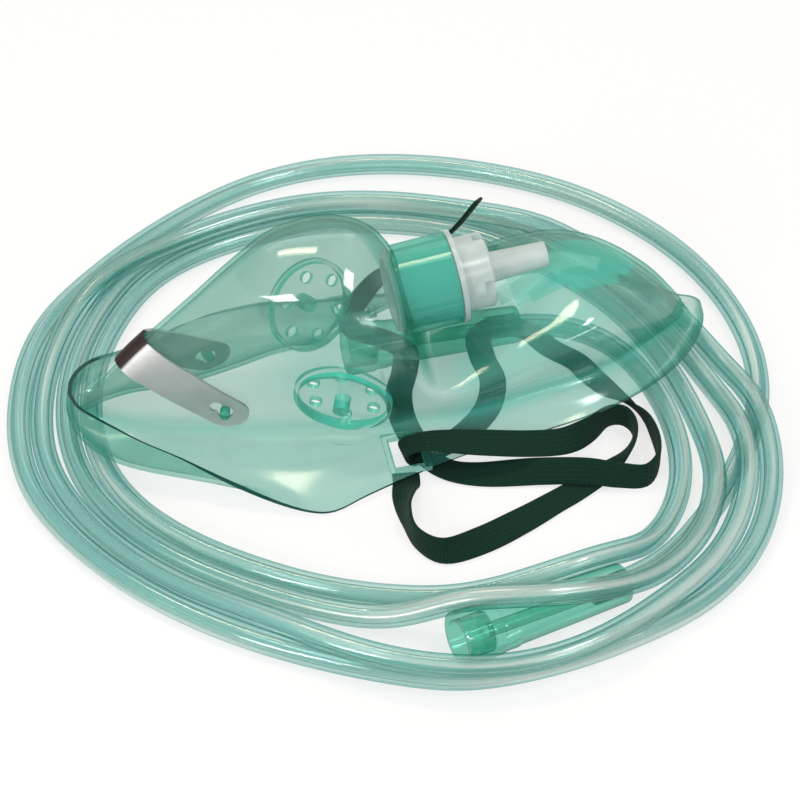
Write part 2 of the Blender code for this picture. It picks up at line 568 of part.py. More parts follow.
under_clip = clip_grid()
make_mask_shell()
make_nose_clip()
make_swivel_connector()
make_strap()
make_coil()
make_tube("tubing_outer_loop", [polar(*p) for p in OUTER_RUN])
make_tube("tubing_inner_run", [polar(*p) for p in INNER_RUN])
make_tube("tubing_middle_run", [polar(*p) for p in MIDDLE_RUN])
make_tube("tubing_chin_run", [Vector(p) * MM for p in CHIN_RUN])
make_tubing_connector("flowmeter_connector", FLOWMETER_END)
make_tubing_connector("mask_tube_connector", MASK_END)
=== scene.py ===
"""Clear green oxygen face mask, lying on its coiled tubing, with its clip, strap and connectors.

The sizes of the tubing, the strap and the cups are in mm, and so are all tables of points. Other
lengths are in metres. The nose end of the mask is towards -X, its chin end towards +X, and the tubing
and the strap lie on the table at z = 0.
"""
import math

import bmesh
import bpy
import numpy as np
from mathutils import Matrix, Vector, noise
from mathutils.bvhtree import BVHTree
from mathutils.kdtree import KDTree


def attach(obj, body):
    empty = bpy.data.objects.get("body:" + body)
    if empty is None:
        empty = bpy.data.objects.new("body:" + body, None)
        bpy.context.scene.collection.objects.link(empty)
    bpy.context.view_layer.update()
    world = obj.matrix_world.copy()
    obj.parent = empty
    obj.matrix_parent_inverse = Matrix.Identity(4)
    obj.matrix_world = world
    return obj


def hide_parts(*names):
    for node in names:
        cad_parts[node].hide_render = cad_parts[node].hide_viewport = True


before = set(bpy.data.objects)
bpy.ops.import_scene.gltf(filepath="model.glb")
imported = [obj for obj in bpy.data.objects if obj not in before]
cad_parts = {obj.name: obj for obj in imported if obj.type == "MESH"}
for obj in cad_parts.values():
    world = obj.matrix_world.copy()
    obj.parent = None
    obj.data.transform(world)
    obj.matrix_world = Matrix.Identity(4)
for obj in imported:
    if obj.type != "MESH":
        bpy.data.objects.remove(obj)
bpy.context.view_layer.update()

# Camera
# A long lens, raised well above the table and a little to the nose's side of square on. Several clear
# walls lie one behind another in its view, so a ray may pass through many of them.
MM = 0.001
AIM = Vector((0.991, -4.792, 0.0)) * MM
AZIMUTH, ELEVATION = math.radians(-14.5), math.radians(43.5)
CAMERA_DISTANCE = 600 * MM
LENS, SENSOR_WIDTH = 110.7, 36.0  # mm
CLEAR_LAYERS = 40

level = math.cos(ELEVATION)
back = Vector((math.sin(AZIMUTH) * level, -math.cos(AZIMUTH) * level, math.sin(ELEVATION)))
bpy.ops.object.camera_add(
    location=AIM + CAMERA_DISTANCE * back, rotation=back.to_track_quat("Z", "Y").to_euler(),
)
camera = bpy.context.object
camera.data.lens = LENS
camera.data.sensor_width = SENSOR_WIDTH
camera.data.clip_start = 0.05
bpy.context.scene.camera = camera
bpy.context.scene.cycles.transparent_max_bounces = CLEAR_LAYERS

# Tubing
# One soft clear vinyl tube with a star-shaped bore, which can't be crushed shut. It runs from the cup
# under the chin dome, four times clockwise round the mask, and into the flow meter's cup connector.
TUBE_DIAMETER = 5.5
BORE_CREST, BORE_ROOT = 1.85, 1.15  # radii of the star's points and of the ribs between them
BORE_POINTS = 5
COIL_CENTRE = np.array((-1.1, -14.5, 0.0))
RING_SPACING = 3.0
RING_SIDES = 20
ON_TABLE = TUBE_DIAMETER / 2 + 0.05
CLEARANCE = 0.25  # mm, kept between turns while they settle
SINK, PULL, STRAIGHTEN, PUSH = 0.05, 0.04, 0.35, 0.35  # what each round of settling does, the first in mm
FIXED_AT_START, FIXED_AT_END, NEIGHBOURS = 12, 8, 6  # points of the tubing's line
CHIN_RUN = (  # x, y, z in mm, starting in the cup's tail
    (28.0, 7.6, 6.8), (34.8, 7.6, 6.8), (40.5, 7.4, 6.2), (47.5, 5.4, 5.0), (54.0, 1.2, 4.0),
    (58.8, -4.8, 3.0), (60.8, -10.4, 2.8),
)
TURNS = (  # degrees clockwise from the chin end, seen from above, with radius, and height if off the table
    (1, 62.6), (10, 64.4), (21, 67.1), (34, 70.2), (44, 71.0), (51, 70.6, 3.2), (54, 70.8, 4.6),
    (57.5, 71.0, 10.4), (63, 70.2, 14.0), (70, 68.0, 14.6), (77, 64.8, 12.6), (85, 61.8, 7.6),
    (93, 59.2, 3.8), (102, 57.6), (111, 57.2), (126, 57.8), (151, 62.3), (161, 66.6), (172, 71.0),
    (189, 74.4), (210, 79.0), (226, 82.4), (237, 83.4), (250, 81.4), (270, 78.0), (300, 73.4),
    (330, 68.6), (345, 68.0), (361, 68.6), (371, 70.4), (380, 73.4, 3.2), (388, 76.4, 6.4),
    (396, 79.2, 8.2), (407, 80.8, 8.4), (415, 81.0, 8.6), (422, 79.8, 9.8), (426, 78.4, 13.4),
    (433, 75.6, 15.8), (440, 73.2, 16.2), (447, 70.8, 16.2), (453, 68.2, 15.4), (459, 66.4, 9.8),
    (465, 65.2, 4.4), (472, 64.2), (484, 63.6), (506, 66.7), (522, 71.4), (534, 76.4), (549, 80.2),
    (570, 85.0), (586, 88.0), (600, 89.0), (630, 84.0), (660, 79.0), (690, 74.4), (705, 73.8),
    (721, 75.2), (729, 77.8, 4.6), (737, 81.0, 7.6), (746, 83.6, 8.2), (755, 85.2, 6.4), (764, 86.2, 5.2),
    (776, 86.4, 6.0), (786, 86.2, 7.4), (797, 86.0, 7.9), (810, 84.9, 7.9), (825, 80.6, 7.9),
    (840, 76.0, 7.6), (854, 73.4, 6.6), (866, 73.4, 4.0), (880, 77.6), (900, 84.8), (915, 88.4),
    (930, 90.6), (942, 90.4, 4.4), (952, 87.4, 7.8), (962, 84.4, 8.0), (990, 80.8, 8.0),
    (1020, 76.0, 8.0), (1034, 76.4, 6.4), (1044, 79.0), (1062, 79.4), (1074, 80.2, 3.0),
    (1081, 81.4, 4.2), (1088, 83.8, 6.8), (1096, 86.6, 8.2), (1104, 89.0, 7.4), (1112, 90.6, 5.0),
    (1120, 91.0, 3.2), (1127, 90.4), (1140, 87.0), (1156, 84.8), (1170, 83.0), (1185, 79.6), (1200, 76.4),
    (1218, 76.4), (1230, 79.8), (1246, 84.6), (1260, 90.4), (1278, 92.2), (1297, 94.6), (1312, 94.6),
    (1321, 95.2), (1333, 97.6), (1342, 99.9), (1350, 100.4), (1358, 100.5), (1372, 99.3), (1390, 98.7),
    (1406, 96.9), (1420, 94.9), (1433, 92.2), (1440, 90.6), (1448, 88.0), (1456, 84.4), (1464, 81.2),
    (1472, 78.8), (1480, 77.4), (1488, 76.6, 3.0), (1494, 76.0, 3.8),
)
FLOWMETER_MOUTH, FLOWMETER_TAIL = np.array((-7.6, -88.4, 6.6)), np.array((33.2, -79.5, 4.8))
CUP_RADIUS, CUP_TAIL_RADIUS = 6.5, 4.6
INTO_SOCKET = 7.0  # how far the tube's end is pushed into a cup's tail


def curve_point(a, b, c, d, t):
    """A point between b and c, at t from 0 to 1, on a smooth curve through all four."""
    return 0.5 * (2 * b + (c - a) * t + (2 * a - 5 * b + 4 * c - d) * t**2 + (3 * b - a - 3 * c + d) * t**3)


def smooth_line(points, steps):
    """Points on a smooth curve through the given ones, steps to each stretch."""
    p = np.asarray(points, float)
    beyond = np.vstack([2 * p[0] - p[1], p, 2 * p[-1] - p[-2]])
    line = []
    for a, b, c, d in zip(beyond, beyond[1:], beyond[2:], beyond[3:]):
        line += [curve_point(a, b, c, d, t) for t in np.linspace(0, 1, steps, endpoint=False)]
    line.append(p[-1])
    return np.array(line)


def lengths_along(line):
    return np.concatenate([[0.0], np.cumsum(np.linalg.norm(np.diff(line[:, :3], axis=0), axis=1))])


def even_line(line, spacing):
    """The same line with its points at even spacing."""
    s = lengths_along(line)
    steps = np.linspace(0, s[-1], int(round(s[-1] / spacing)) + 1)
    return np.stack([np.interp(steps, s, column) for column in line.T], axis=1)


def on_coil(degrees, radius, height=ON_TABLE):
    angle = -math.radians(degrees)
    return COIL_CENTRE + (radius * math.cos(angle), radius * math.sin(angle), height)


def settle_tubing(wanted, rounds=140):
    """Lets the turns sink under their weight and push each other aside until none lies in another."""
    p = wanted.copy()
    n = len(p)
    held = np.ones(n)
    held[:FIXED_AT_START] = held[-FIXED_AT_END:] = 0.0
    apart = np.abs(np.arange(n)[:, None] - np.arange(n)) > NEIGHBOURS
    axis = FLOWMETER_TAIL - FLOWMETER_MOUTH
    for _ in range(rounds):
        before = p.copy()
        p[:, 2] -= SINK
        p += PULL * (wanted - p) * (1.0, 1.0, 0.5)
        p[1:-1] += STRAIGHTEN * (0.5 * (p[:-2] + p[2:]) - p[1:-1])
        for _ in range(2):
            gap = p[:, None] - p
            distance = np.sqrt((gap**2).sum(2)) + 0.0001
            short = np.where(apart, np.maximum(0, TUBE_DIAMETER + CLEARANCE - distance), 0)
            p += PUSH * (gap * (short / distance)[:, :, None]).sum(1)
        t = np.clip(((p - FLOWMETER_MOUTH) @ axis) / (axis @ axis), 0, 1)
        off = p - (FLOWMETER_MOUTH + t[:, None] * axis)
        distance = np.linalg.norm(off, axis=1) + 0.0001
        room = (CUP_RADIUS + (CUP_TAIL_RADIUS - CUP_RADIUS) * np.minimum(1, t * 3)) + TUBE_DIAMETER / 2 + 0.1
        p += off * (np.maximum(0, room - distance) / distance)[:, None]
        p[:, 2] = np.maximum(p[:, 2], ON_TABLE)
        p = before + (p - before) * held[:, None]
    return p


def tangents_of(line):
    tangents = np.gradient(line, axis=0)
    return tangents / np.linalg.norm(tangents, axis=1, keepdims=True)


def directions_across(line):
    """Two directions across a line at each point, which twist as little as they can."""
    tangents = tangents_of(line)
    side, sides = np.array((0.0, 0.0, 1.0)), []
    for tangent in tangents:
        side = side - tangent * (side @ tangent)
        side /= np.linalg.norm(side)
        sides.append(side)
    sides = np.array(sides)
    return sides, np.cross(tangents, sides)


def deselect():
    if bpy.context.object and bpy.context.object.mode != "OBJECT":
        bpy.ops.object.mode_set(mode="OBJECT")
    bpy.ops.object.select_all(action="DESELECT")


def piece_from(bm, name):
    """A new piece at the origin from a bmesh, smooth all over."""
    for face in bm.faces:
        face.smooth = True
    mesh = bpy.data.meshes.new(name)
    bm.to_mesh(mesh)
    bm.free()
    piece = bpy.data.objects.new(name, mesh)
    bpy.context.scene.collection.objects.link(piece)
    return piece


def ring_faces(bm, first, second):
    """Faces between two rings of corners."""
    corners = zip(first, first[1:] + first[:1], second[1:] + second[:1], second)
    return [bm.faces.new(four) for four in corners]


def faces_along(bm, rings, uv, place):
    """Faces along a row of rings, with the UV of each corner given by its row and column."""
    for k, (first, second) in enumerate(zip(rings, rings[1:])):
        for i, face in enumerate(ring_faces(bm, first, second)):
            for loop, (row, column) in zip(face.loops, ((k, i), (k, i + 1), (k + 1, i + 1), (k + 1, i))):
                loop[uv].uv = place(row, column)


chin = smooth_line(CHIN_RUN, 6)[:-1]
turns = smooth_line([on_coil(*spot) for spot in TURNS], 8)
along_cup = (FLOWMETER_TAIL - FLOWMETER_MOUTH) / np.linalg.norm(FLOWMETER_TAIL - FLOWMETER_MOUTH)
into_cup = [FLOWMETER_TAIL + along_cup * d for d in (3.0, 0.0, -INTO_SOCKET / 2, -INTO_SOCKET)]
route = even_line(np.vstack([chin, turns, into_cup]), RING_SPACING)
route = settle_tubing(route)
for _ in range(12):
    route[1:-1] = 0.25 * (route[:-2] + 2 * route[1:-1] + route[2:])
route[:, 2] = np.maximum(route[:, 2], ON_TABLE)
route = even_line(smooth_line(route, 2), RING_SPACING) * MM
up, across = directions_across(route)

bm = bmesh.new()
uv = bm.loops.layers.uv.new("along_tube")
outer_rings, bore_rings = [], []
for spot, a, b in zip(route, up, across):
    outer, bore = [], []
    for i in range(RING_SIDES):
        turn = math.tau * i / RING_SIDES
        direction = a * math.cos(turn) + b * math.sin(turn)
        star = 0.5 + 0.5 * math.cos(BORE_POINTS * turn)
        outer.append(bm.verts.new(spot + direction * TUBE_DIAMETER / 2 * MM))
        bore.append(bm.verts.new(spot + direction * (BORE_ROOT + (BORE_CREST - BORE_ROOT) * star) * MM))
    outer_rings.append(outer)
    bore_rings.append(bore)
for rings in (outer_rings, bore_rings):
    faces_along(bm, rings, uv, lambda row, column: (row * RING_SPACING * MM, column / RING_SIDES))
ring_faces(bm, outer_rings[0], bore_rings[0])
ring_faces(bm, outer_rings[-1], bore_rings[-1])
bmesh.ops.recalc_face_normals(bm, faces=bm.faces)
tubing = piece_from(bm, "tubing")


def shader_node(tree, kind, inputs=(), **settings):
    """A node with its settings, and its inputs given as values, or linked from sockets or first outputs."""
    made = tree.nodes.new(kind)
    for name, value in settings.items():
        setattr(made, name, value)
    for name, value in dict(inputs).items():
        if isinstance(value, bpy.types.Node):
            value = value.outputs[0]
        if isinstance(value, bpy.types.NodeSocket):
            tree.links.new(value, made.inputs[name])
        else:
            made.inputs[name].default_value = value
    return made


def worked_out(tree, operation, *values, **settings):
    """The result of a maths node."""
    return shader_node(tree, "ShaderNodeMath", enumerate(values), operation=operation, **settings).outputs[0]


def blended(tree, share, first, second):
    """The mix of two colours, each given as a colour or as a socket."""
    first, second = ((*c, 1) if isinstance(c, tuple) else c for c in (first, second))
    mix = shader_node(tree, "ShaderNodeMix", {"Factor": share, "A": first, "B": second}, data_type="RGBA")
    return mix.outputs["Result"]


def new_group(name, inputs, outputs):
    """A shader node group, with its input and output nodes."""
    group = bpy.data.node_groups.new(name, "ShaderNodeTree")
    for label, kind in inputs:
        group.interface.new_socket(label, in_out="INPUT", socket_type=kind)
    for label, kind in outputs:
        group.interface.new_socket(label, in_out="OUTPUT", socket_type=kind)
    return group, group.nodes.new("NodeGroupInput"), group.nodes.new("NodeGroupOutput")


def new_material(name):
    material = bpy.data.materials.new(name)
    material.use_nodes = True
    material.node_tree.nodes.clear()
    return material, material.node_tree


# The colour of clear vinyl, which deepens where the view runs along the wall and where it is thick, and
# which has a darker line at its outlines
OUTLINE_FALLOFF = 6.0
wall_depth, given, made = new_group(
    "wall_depth",
    [("Facing", "NodeSocketFloat"), ("Falloff", "NodeSocketFloat"), ("Thick", "NodeSocketFloat"),
     ("Clear", "NodeSocketColor"), ("Deep", "NodeSocketColor"), ("Outline", "NodeSocketColor")],
    [("Colour", "NodeSocketColor")],
)
facing, falloff, thick, clear, deep, outline = given.outputs[:6]
depth = worked_out(wall_depth, "ADD", worked_out(wall_depth, "POWER", facing, falloff), thick, use_clamp=True)
colour = blended(wall_depth, depth, clear, deep)
colour = blended(wall_depth, worked_out(wall_depth, "POWER", facing, OUTLINE_FALLOFF), colour, outline)
wall_depth.links.new(colour, made.inputs["Colour"])

# The slow unevenness of a moulded or drawn surface
surface_flow, given, made = new_group(
    "surface_flow",
    [("Place", "NodeSocketVector"), ("Scale", "NodeSocketFloat"), ("Fine", "NodeSocketFloat")],
    [("Height", "NodeSocketFloat")],
)
place, scale, amount = given.outputs[:3]
slow = shader_node(surface_flow, "ShaderNodeTexNoise", {"Vector": place, "Scale": scale, "Detail": 1.0})
fine = shader_node(surface_flow, "ShaderNodeTexNoise", {"Vector": place, "Scale": 900.0})
fine = worked_out(surface_flow, "MULTIPLY", fine, amount)
surface_flow.links.new(worked_out(surface_flow, "ADD", slow, fine), made.inputs["Height"])

THICK_CLOUD, STREAK_CLOUD, MATT_GLOSS = 0.6, 0.28, 0.16


def clear_plastic(name, clear, deep, falloff, milky, milk, gloss, flow=70.0, ripple=0.0, most_gloss=0.13,
                  ior=1.5, outline=None, thick_from=None, thick_milk=None, matt_from=None, streaks_from=None,
                  streak_milk_and_reflection=None):
    """See-through plastic: a tint that deepens with the wall, a trace of milkiness, and a gloss."""
    material, tree = new_material(name)
    facing = shader_node(tree, "ShaderNodeLayerWeight", {"Blend": 0.5}).outputs["Facing"]
    place = shader_node(tree, "ShaderNodeTexCoord").outputs["Object"]
    tint = shader_node(tree, "ShaderNodeGroup", {
        "Facing": facing, "Falloff": falloff, "Clear": (*clear, 1), "Deep": (*deep, 1),
        "Outline": (*(outline or deep), 1)}, node_tree=wall_depth)
    uneven = shader_node(tree, "ShaderNodeGroup", {"Place": place, "Scale": flow, "Fine": 0.02},
                         node_tree=surface_flow)
    bump = shader_node(tree, "ShaderNodeBump", {"Height": uneven, "Distance": ripple,
                       "Strength": 1.0 if ripple else 0.0})
    through = shader_node(tree, "ShaderNodeBsdfTransparent", {"Color": tint})
    cloudy = shader_node(tree, "ShaderNodeBsdfDiffuse", {"Color": (*milk, 1)})
    body = shader_node(tree, "ShaderNodeMixShader", {"Fac": milky, 1: through, 2: cloudy})
    if thick_from:
        thick = shader_node(tree, "ShaderNodeAttribute", attribute_name=thick_from).outputs["Fac"]
        tree.links.new(thick, tint.inputs["Thick"])
        greener = worked_out(tree, "MULTIPLY", thick, 2.0, use_clamp=True)
        cloud = worked_out(tree, "MULTIPLY_ADD", thick, THICK_CLOUD, milky, use_clamp=True)
        tree.links.new(cloud, body.inputs["Fac"])
        tree.links.new(blended(tree, greener, milk, thick_milk), cloudy.inputs["Color"])
    # Streaks along the UV map blend in a second, whiter colour: partly cloudiness in the vinyl and partly a
    # painted reflection of the lamps and room
    if streaks_from:
        drawn = shader_node(tree, "ShaderNodeUVMap", uv_map=streaks_from)
        drawn = shader_node(tree, "ShaderNodeMapping", {"Vector": drawn, "Scale": (9.0, 6.0, 1.0)})
        drawn = shader_node(tree, "ShaderNodeTexNoise", {"Vector": drawn, "Scale": 1.0, "Detail": 2.5})
        streak = shader_node(tree, "ShaderNodeMapRange", {"Value": drawn, "From Min": 0.44,
                             "From Max": 0.66})
        tree.links.new(worked_out(tree, "MULTIPLY_ADD", streak, STREAK_CLOUD, milky), body.inputs["Fac"])
        tree.links.new(blended(tree, streak, milk, streak_milk_and_reflection), cloudy.inputs["Color"])
    shine = shader_node(tree, "ShaderNodeBsdfGlossy", {"Color": (1, 1, 1, 1), "Roughness": gloss,
                        "Normal": bump})
    if matt_from:
        matt = shader_node(tree, "ShaderNodeAttribute", attribute_name=matt_from).outputs["Fac"]
        matt = shader_node(tree, "ShaderNodeMapRange", {"Value": matt, "To Min": gloss, "To Max": MATT_GLOSS})
        tree.links.new(matt.outputs[0], shine.inputs["Roughness"])
    amount = shader_node(tree, "ShaderNodeFresnel", {"IOR": ior, "Normal": bump})
    amount = worked_out(tree, "MINIMUM", amount, most_gloss)
    whole = shader_node(tree, "ShaderNodeMixShader", {"Fac": amount, 1: body, 2: shine})
    shader_node(tree, "ShaderNodeOutputMaterial", {"Surface": whole})
    return material


# The tubing's whiter warm-grey streaks are partly milky vinyl and partly painted reflection
tubing.data.materials.append(clear_plastic(
    "tubing_vinyl", clear=(0.755, 0.885, 0.868), deep=(0.15, 0.53, 0.50), falloff=2.6, milky=0.08,
    milk=(0.15, 0.56, 0.51), gloss=0.12, most_gloss=0.16, streaks_from="along_tube",
    streak_milk_and_reflection=(0.84, 0.86, 0.81),
))
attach(tubing, "root")
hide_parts("tubing_coil", "tubing_outer_loop", "tubing_inner_run", "tubing_middle_run", "tubing_chin_run")

# Head strap
# A flat woven elastic in dark green, knotted to nothing: each end goes through a pad of the flange and
# holds by friction. It lies as it fell, with a loop in front of the mask and another inside it.
STRAP_WIDTH, STRAP_THICKNESS = 6.5, 0.9
STRAP_RIBS, RIB_DEPTH, EDGE_SHARE = 6, 0.28, 0.25  # the last two as shares of the thickness
STRAP_SPACING = 1.2
STRAP = (  # x, y, z in mm, and how far it leans on its edge in degrees
    (29.4, 28.0, 31.0, 42), (22.6, 28.0, 22.4, 42), (12.0, 28.8, 13.8, 26), (4.4, 28.6, 11.0, 8),
    (-1.4, 27.0, 6.0, 0), (-3.8, 25.8, 2.2, 0), (-3.6, 21.8, 0.8, 0), (2.0, 17.2, 0.8, 0),
    (6.4, 11.4, 0.8, 0), (4.4, 4.0, 0.8, 0), (1.2, -3.0, 0.8, 0), (-0.2, -12.0, 0.8, 0), (1.0, -22.0, 0.8, 0),
    (4.6, -30.4, 0.8, 0), (12.1, -35.4, 1.4, 15), (25.8, -39.6, 3.0, 45), (36.0, -43.8, 4.6, 60),
    (43.0, -46.8, 4.4, 70), (49.6, -48.0, 4.0, 80), (54.6, -42.0, 3.8, 90), (55.8, -32.0, 3.6, 85),
    (54.2, -23.6, 2.6, 50), (51.2, -16.0, 1.2, 15), (48.4, -8.7, 0.8, 0), (46.4, -3.0, 0.8, 0),
    (41.6, 3.4, 0.8, 0), (38.2, 10.4, 0.8, 0), (32.0, 14.6, 0.8, 0), (25.8, 12.0, 0.8, 0),
    (24.4, 4.0, 0.8, 0), (24.6, -4.4, 0.8, 0), (20.8, -13.4, 0.8, 0), (13.6, -20.6, 1.3, 0),
    (6.4, -24.8, 2.1, 0), (-1.2, -26.4, 2.0, 0), (-3.9, -26.6, 4.0, 0), (-3.0, -27.0, 6.4, 0),
    (0.6, -28.4, 8.4, 0), (5.4, -30.2, 9.0, 10), (13.7, -32.4, 8.6, 25), (24.0, -34.6, 7.8, 30),
    (33.0, -35.0, 6.8, 35), (40.4, -31.8, 5.6, 65), (46.4, -27.6, 4.8, 85), (50.6, -28.2, 4.4, 90),
    (51.6, -33.0, 4.2, 90), (48.4, -37.8, 3.2, 60), (41.1, -41.9, 1.2, 15), (33.0, -45.6, 0.7, 0),
    (26.5, -48.4, 0.8, -4), (18.2, -52.5, 1.6, -18), (7.3, -57.0, 2.5, -42), (-2.6, -59.0, 3.4, -68),
    (-7.6, -53.6, 3.5, -86), (-8.0, -45.8, 3.2, -75), (-6.6, -38.4, 1.9, -35), (-4.8, -33.4, 0.6, 0),
    (-4.2, -30.2, 0.55, 0),
)
strap_route = even_line(smooth_line(STRAP, 8), STRAP_SPACING)
strap_lean = np.radians(strap_route[:, 3])
strap_route = strap_route[:, :3] * MM
strap_length = lengths_along(strap_route)
columns = np.linspace(-1, 1, 6 * STRAP_RIBS + 1)

bm = bmesh.new()
uv = bm.loops.layers.uv.new("along_strap")
flat = np.array((0.0, 1.0, 0.0))
rings = []
for spot, tangent, lean in zip(strap_route, tangents_of(strap_route), strap_lean):
    flat = flat - tangent * (flat @ tangent)
    flat[2] = 0.0
    flat /= np.linalg.norm(flat)
    upright = np.cross(tangent, flat)
    wide = flat * math.cos(lean) + upright * math.sin(lean)
    thick = np.cross(tangent, wide)
    ring = []
    for face_side in (1, -1):
        for column in columns[::face_side]:
            rib = 1 - RIB_DEPTH + RIB_DEPTH * abs(math.cos(math.pi * STRAP_RIBS * (column + 1) / 2))
            edge_fall = math.sqrt(max(0.0, 1 - abs(column) ** 14))
            height = STRAP_THICKNESS / 2 * rib * (EDGE_SHARE + (1 - EDGE_SHARE) * edge_fall) * face_side
            ring.append(bm.verts.new(spot + wide * column * STRAP_WIDTH / 2 * MM + thick * height * MM))
    rings.append(ring)
faces_along(bm, rings, uv, lambda row, column: (
    strap_length[row], column * STRAP_WIDTH * MM / (len(columns) - 1)))
bm.faces.new(rings[0][::-1])
bm.faces.new(rings[-1])
bmesh.ops.recalc_face_normals(bm, faces=bm.faces)
strap = piece_from(bm, "elastic_strap")

material, tree = new_material("woven_elastic")
place = shader_node(tree, "ShaderNodeUVMap", uv_map="along_strap")
threads = shader_node(tree, "ShaderNodeTexWave", {"Vector": place, "Scale": 480.0, "Distortion": 1.5,
                      "Detail": 2.0}, wave_type="BANDS", bands_direction="X")
fluff = shader_node(tree, "ShaderNodeTexNoise", {"Vector": place, "Scale": 2600.0, "Detail": 3.0})
shade = worked_out(tree, "MULTIPLY", threads.outputs["Fac"], fluff)
colour = blended(tree, shade, (0.0022, 0.018, 0.010), (0.006, 0.046, 0.028))
bump = shader_node(tree, "ShaderNodeBump", {"Height": shade, "Distance": 0.0001, "Strength": 0.6})
cloth = shader_node(tree, "ShaderNodeBsdfPrincipled", {"Base Color": colour, "Roughness": 0.78,
                    "Normal": bump, "Sheen Weight": 0.06, "Specular IOR Level": 0.12})
shader_node(tree, "ShaderNodeOutputMaterial", {"Surface": cloth})
strap.data.materials.append(material)
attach(strap, "root")
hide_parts("head_strap")

# Face piece
# One moulding in soft clear green vinyl: a rolled flange that lies on the face, a high dome over the
# nose with a round port, and a low dome over the chin. The rings of the vents, the pads for the strap
# and the posts for the nose strip are moulded with it.
MASK_WALL = 0.95 * MM
FINE_SPOKES = 4
FINE_ROWS = (4, 4, 4, 6, 6, 6)
MASK_SHIFT = Vector((-1.9, 0.0, -0.6)) * MM
FOLD_START, FOLD_LENGTH, FOLD_SHARE = 44 * MM, 18 * MM, 0.65  # of the far flange, by the chin
RIM = (
    (-76.5, 0.0, 17.0), (-75.4, 4.6, 17.0), (-72.4, 8.8, 16.8), (-68.0, 12.6, 15.6),
    (-62.0, 16.4, 13.0), (-54.0, 21.4, 10.4), (-44.5, 28.6, 7.0), (-35.0, 34.0, 3.6),
    (-27.0, 37.0, 1.2), (-21.0, 37.6, 0.6), (-13.0, 35.2, 1.2), (-3.0, 32.8, 2.1),
    (12.0, 30.0, 3.4), (28.0, 29.6, 5.6), (42.0, 29.4, 8.0), (52.0, 27.6, 9.2),
    (61.0, 24.2, 10.0), (69.0, 19.4, 10.6), (75.5, 13.2, 11.2), (79.6, 6.5, 11.6),
    (81.0, 0.0, 11.8),
)
ROLL = (
    (-77.2, 0.0, 11.0), (-76.2, 5.4, 9.6), (-73.6, 10.4, 8.4), (-69.0, 15.2, 7.4),
    (-63.0, 19.2, 6.8), (-54.0, 23.2, 5.8), (-44.0, 26.8, 4.4), (-34.0, 29.8, 3.1),
    (-27.0, 32.6, 2.3), (-20.0, 32.8, 2.1), (-12.0, 31.6, 2.4), (-3.0, 30.2, 2.9),
    (12.0, 28.2, 4.4), (28.0, 27.6, 6.6), (42.0, 27.2, 8.6), (52.0, 25.2, 9.4),
    (60.5, 22.0, 9.6), (68.5, 17.0, 9.4), (75.0, 11.0, 9.0), (79.2, 5.2, 8.8),
    (80.4, 0.0, 8.8),
)
GUTTER = (
    (-75.0, 0.0, 8.4), (-73.2, 3.8, 7.7), (-70.0, 7.8, 7.2), (-66.0, 11.0, 6.8),
    (-60.0, 14.0, 6.2), (-52.0, 17.2, 5.4), (-43.0, 20.0, 4.9), (-34.0, 22.6, 4.6),
    (-26.0, 24.6, 4.4), (-19.0, 25.6, 4.3), (-12.0, 25.2, 4.1), (-3.0, 24.2, 4.2),
    (12.0, 25.0, 5.8), (27.0, 25.4, 8.6), (41.0, 24.6, 10.2), (51.0, 22.2, 10.8),
    (59.5, 18.6, 10.8), (67.0, 13.6, 9.8), (73.5, 7.8, 8.4), (77.0, 3.6, 8.0),
    (78.2, 0.0, 8.0),
)
CREASE = (
    (-73.4, 0.0, 11.0), (-70.5, 1.8, 10.2), (-66.5, 3.6, 9.6), (-60.5, 5.6, 8.6),
    (-52.5, 7.2, 6.8), (-44.0, 8.6, 6.2), (-34.0, 10.8, 6.0), (-25.0, 12.8, 6.3),
    (-15.0, 14.4, 6.0), (-7.0, 17.6, 6.2), (-1.5, 18.4, 7.0), (3.0, 19.2, 8.2),
    (9.0, 20.8, 9.2), (20.0, 21.6, 10.2), (32.0, 20.8, 11.6), (44.0, 19.6, 12.6),
    (52.0, 17.2, 12.9), (60.0, 13.2, 12.6), (67.0, 8.6, 12.0), (73.0, 4.0, 10.8),
    (76.4, 0.0, 10.0),
)
WALL = (
    (-72.6, 0.0, 13.0), (-69.5, 1.3, 13.4), (-65.5, 2.5, 15.0), (-60.0, 3.4, 17.5),
    (-52.0, 4.9, 20.0), (-44.0, 6.8, 22.0), (-34.0, 10.4, 24.0), (-24.5, 15.0, 26.5),
    (-14.5, 19.4, 28.0), (-6.5, 22.6, 28.0), (-1.0, 21.6, 26.0), (3.0, 20.6, 20.0),
    (8.5, 21.4, 15.4), (20.0, 22.0, 16.2), (32.0, 21.6, 18.0), (44.0, 20.6, 19.2),
    (52.0, 18.4, 19.2), (60.0, 14.6, 18.2), (67.0, 9.8, 16.0), (72.6, 4.6, 12.8),
    (75.8, 0.0, 11.2),
)
SHOULDER = (
    (-72.0, 0.0, 14.2), (-69.0, 0.8, 15.8), (-65.0, 1.5, 19.6), (-59.5, 2.2, 24.2),
    (-52.0, 3.2, 29.0), (-44.0, 4.8, 34.5), (-34.0, 8.2, 40.4), (-24.0, 13.2, 43.6),
    (-14.0, 17.6, 42.2), (-6.0, 19.0, 39.6), (-0.5, 18.0, 36.0), (3.0, 17.4, 28.0),
    (8.2, 17.8, 16.8), (19.0, 18.2, 19.0), (32.0, 17.8, 24.4), (44.0, 17.0, 26.8),
    (52.0, 15.2, 26.6), (60.0, 11.8, 24.2), (67.0, 7.6, 19.8), (72.3, 3.5, 14.4),
    (75.2, 0.0, 12.2),
)
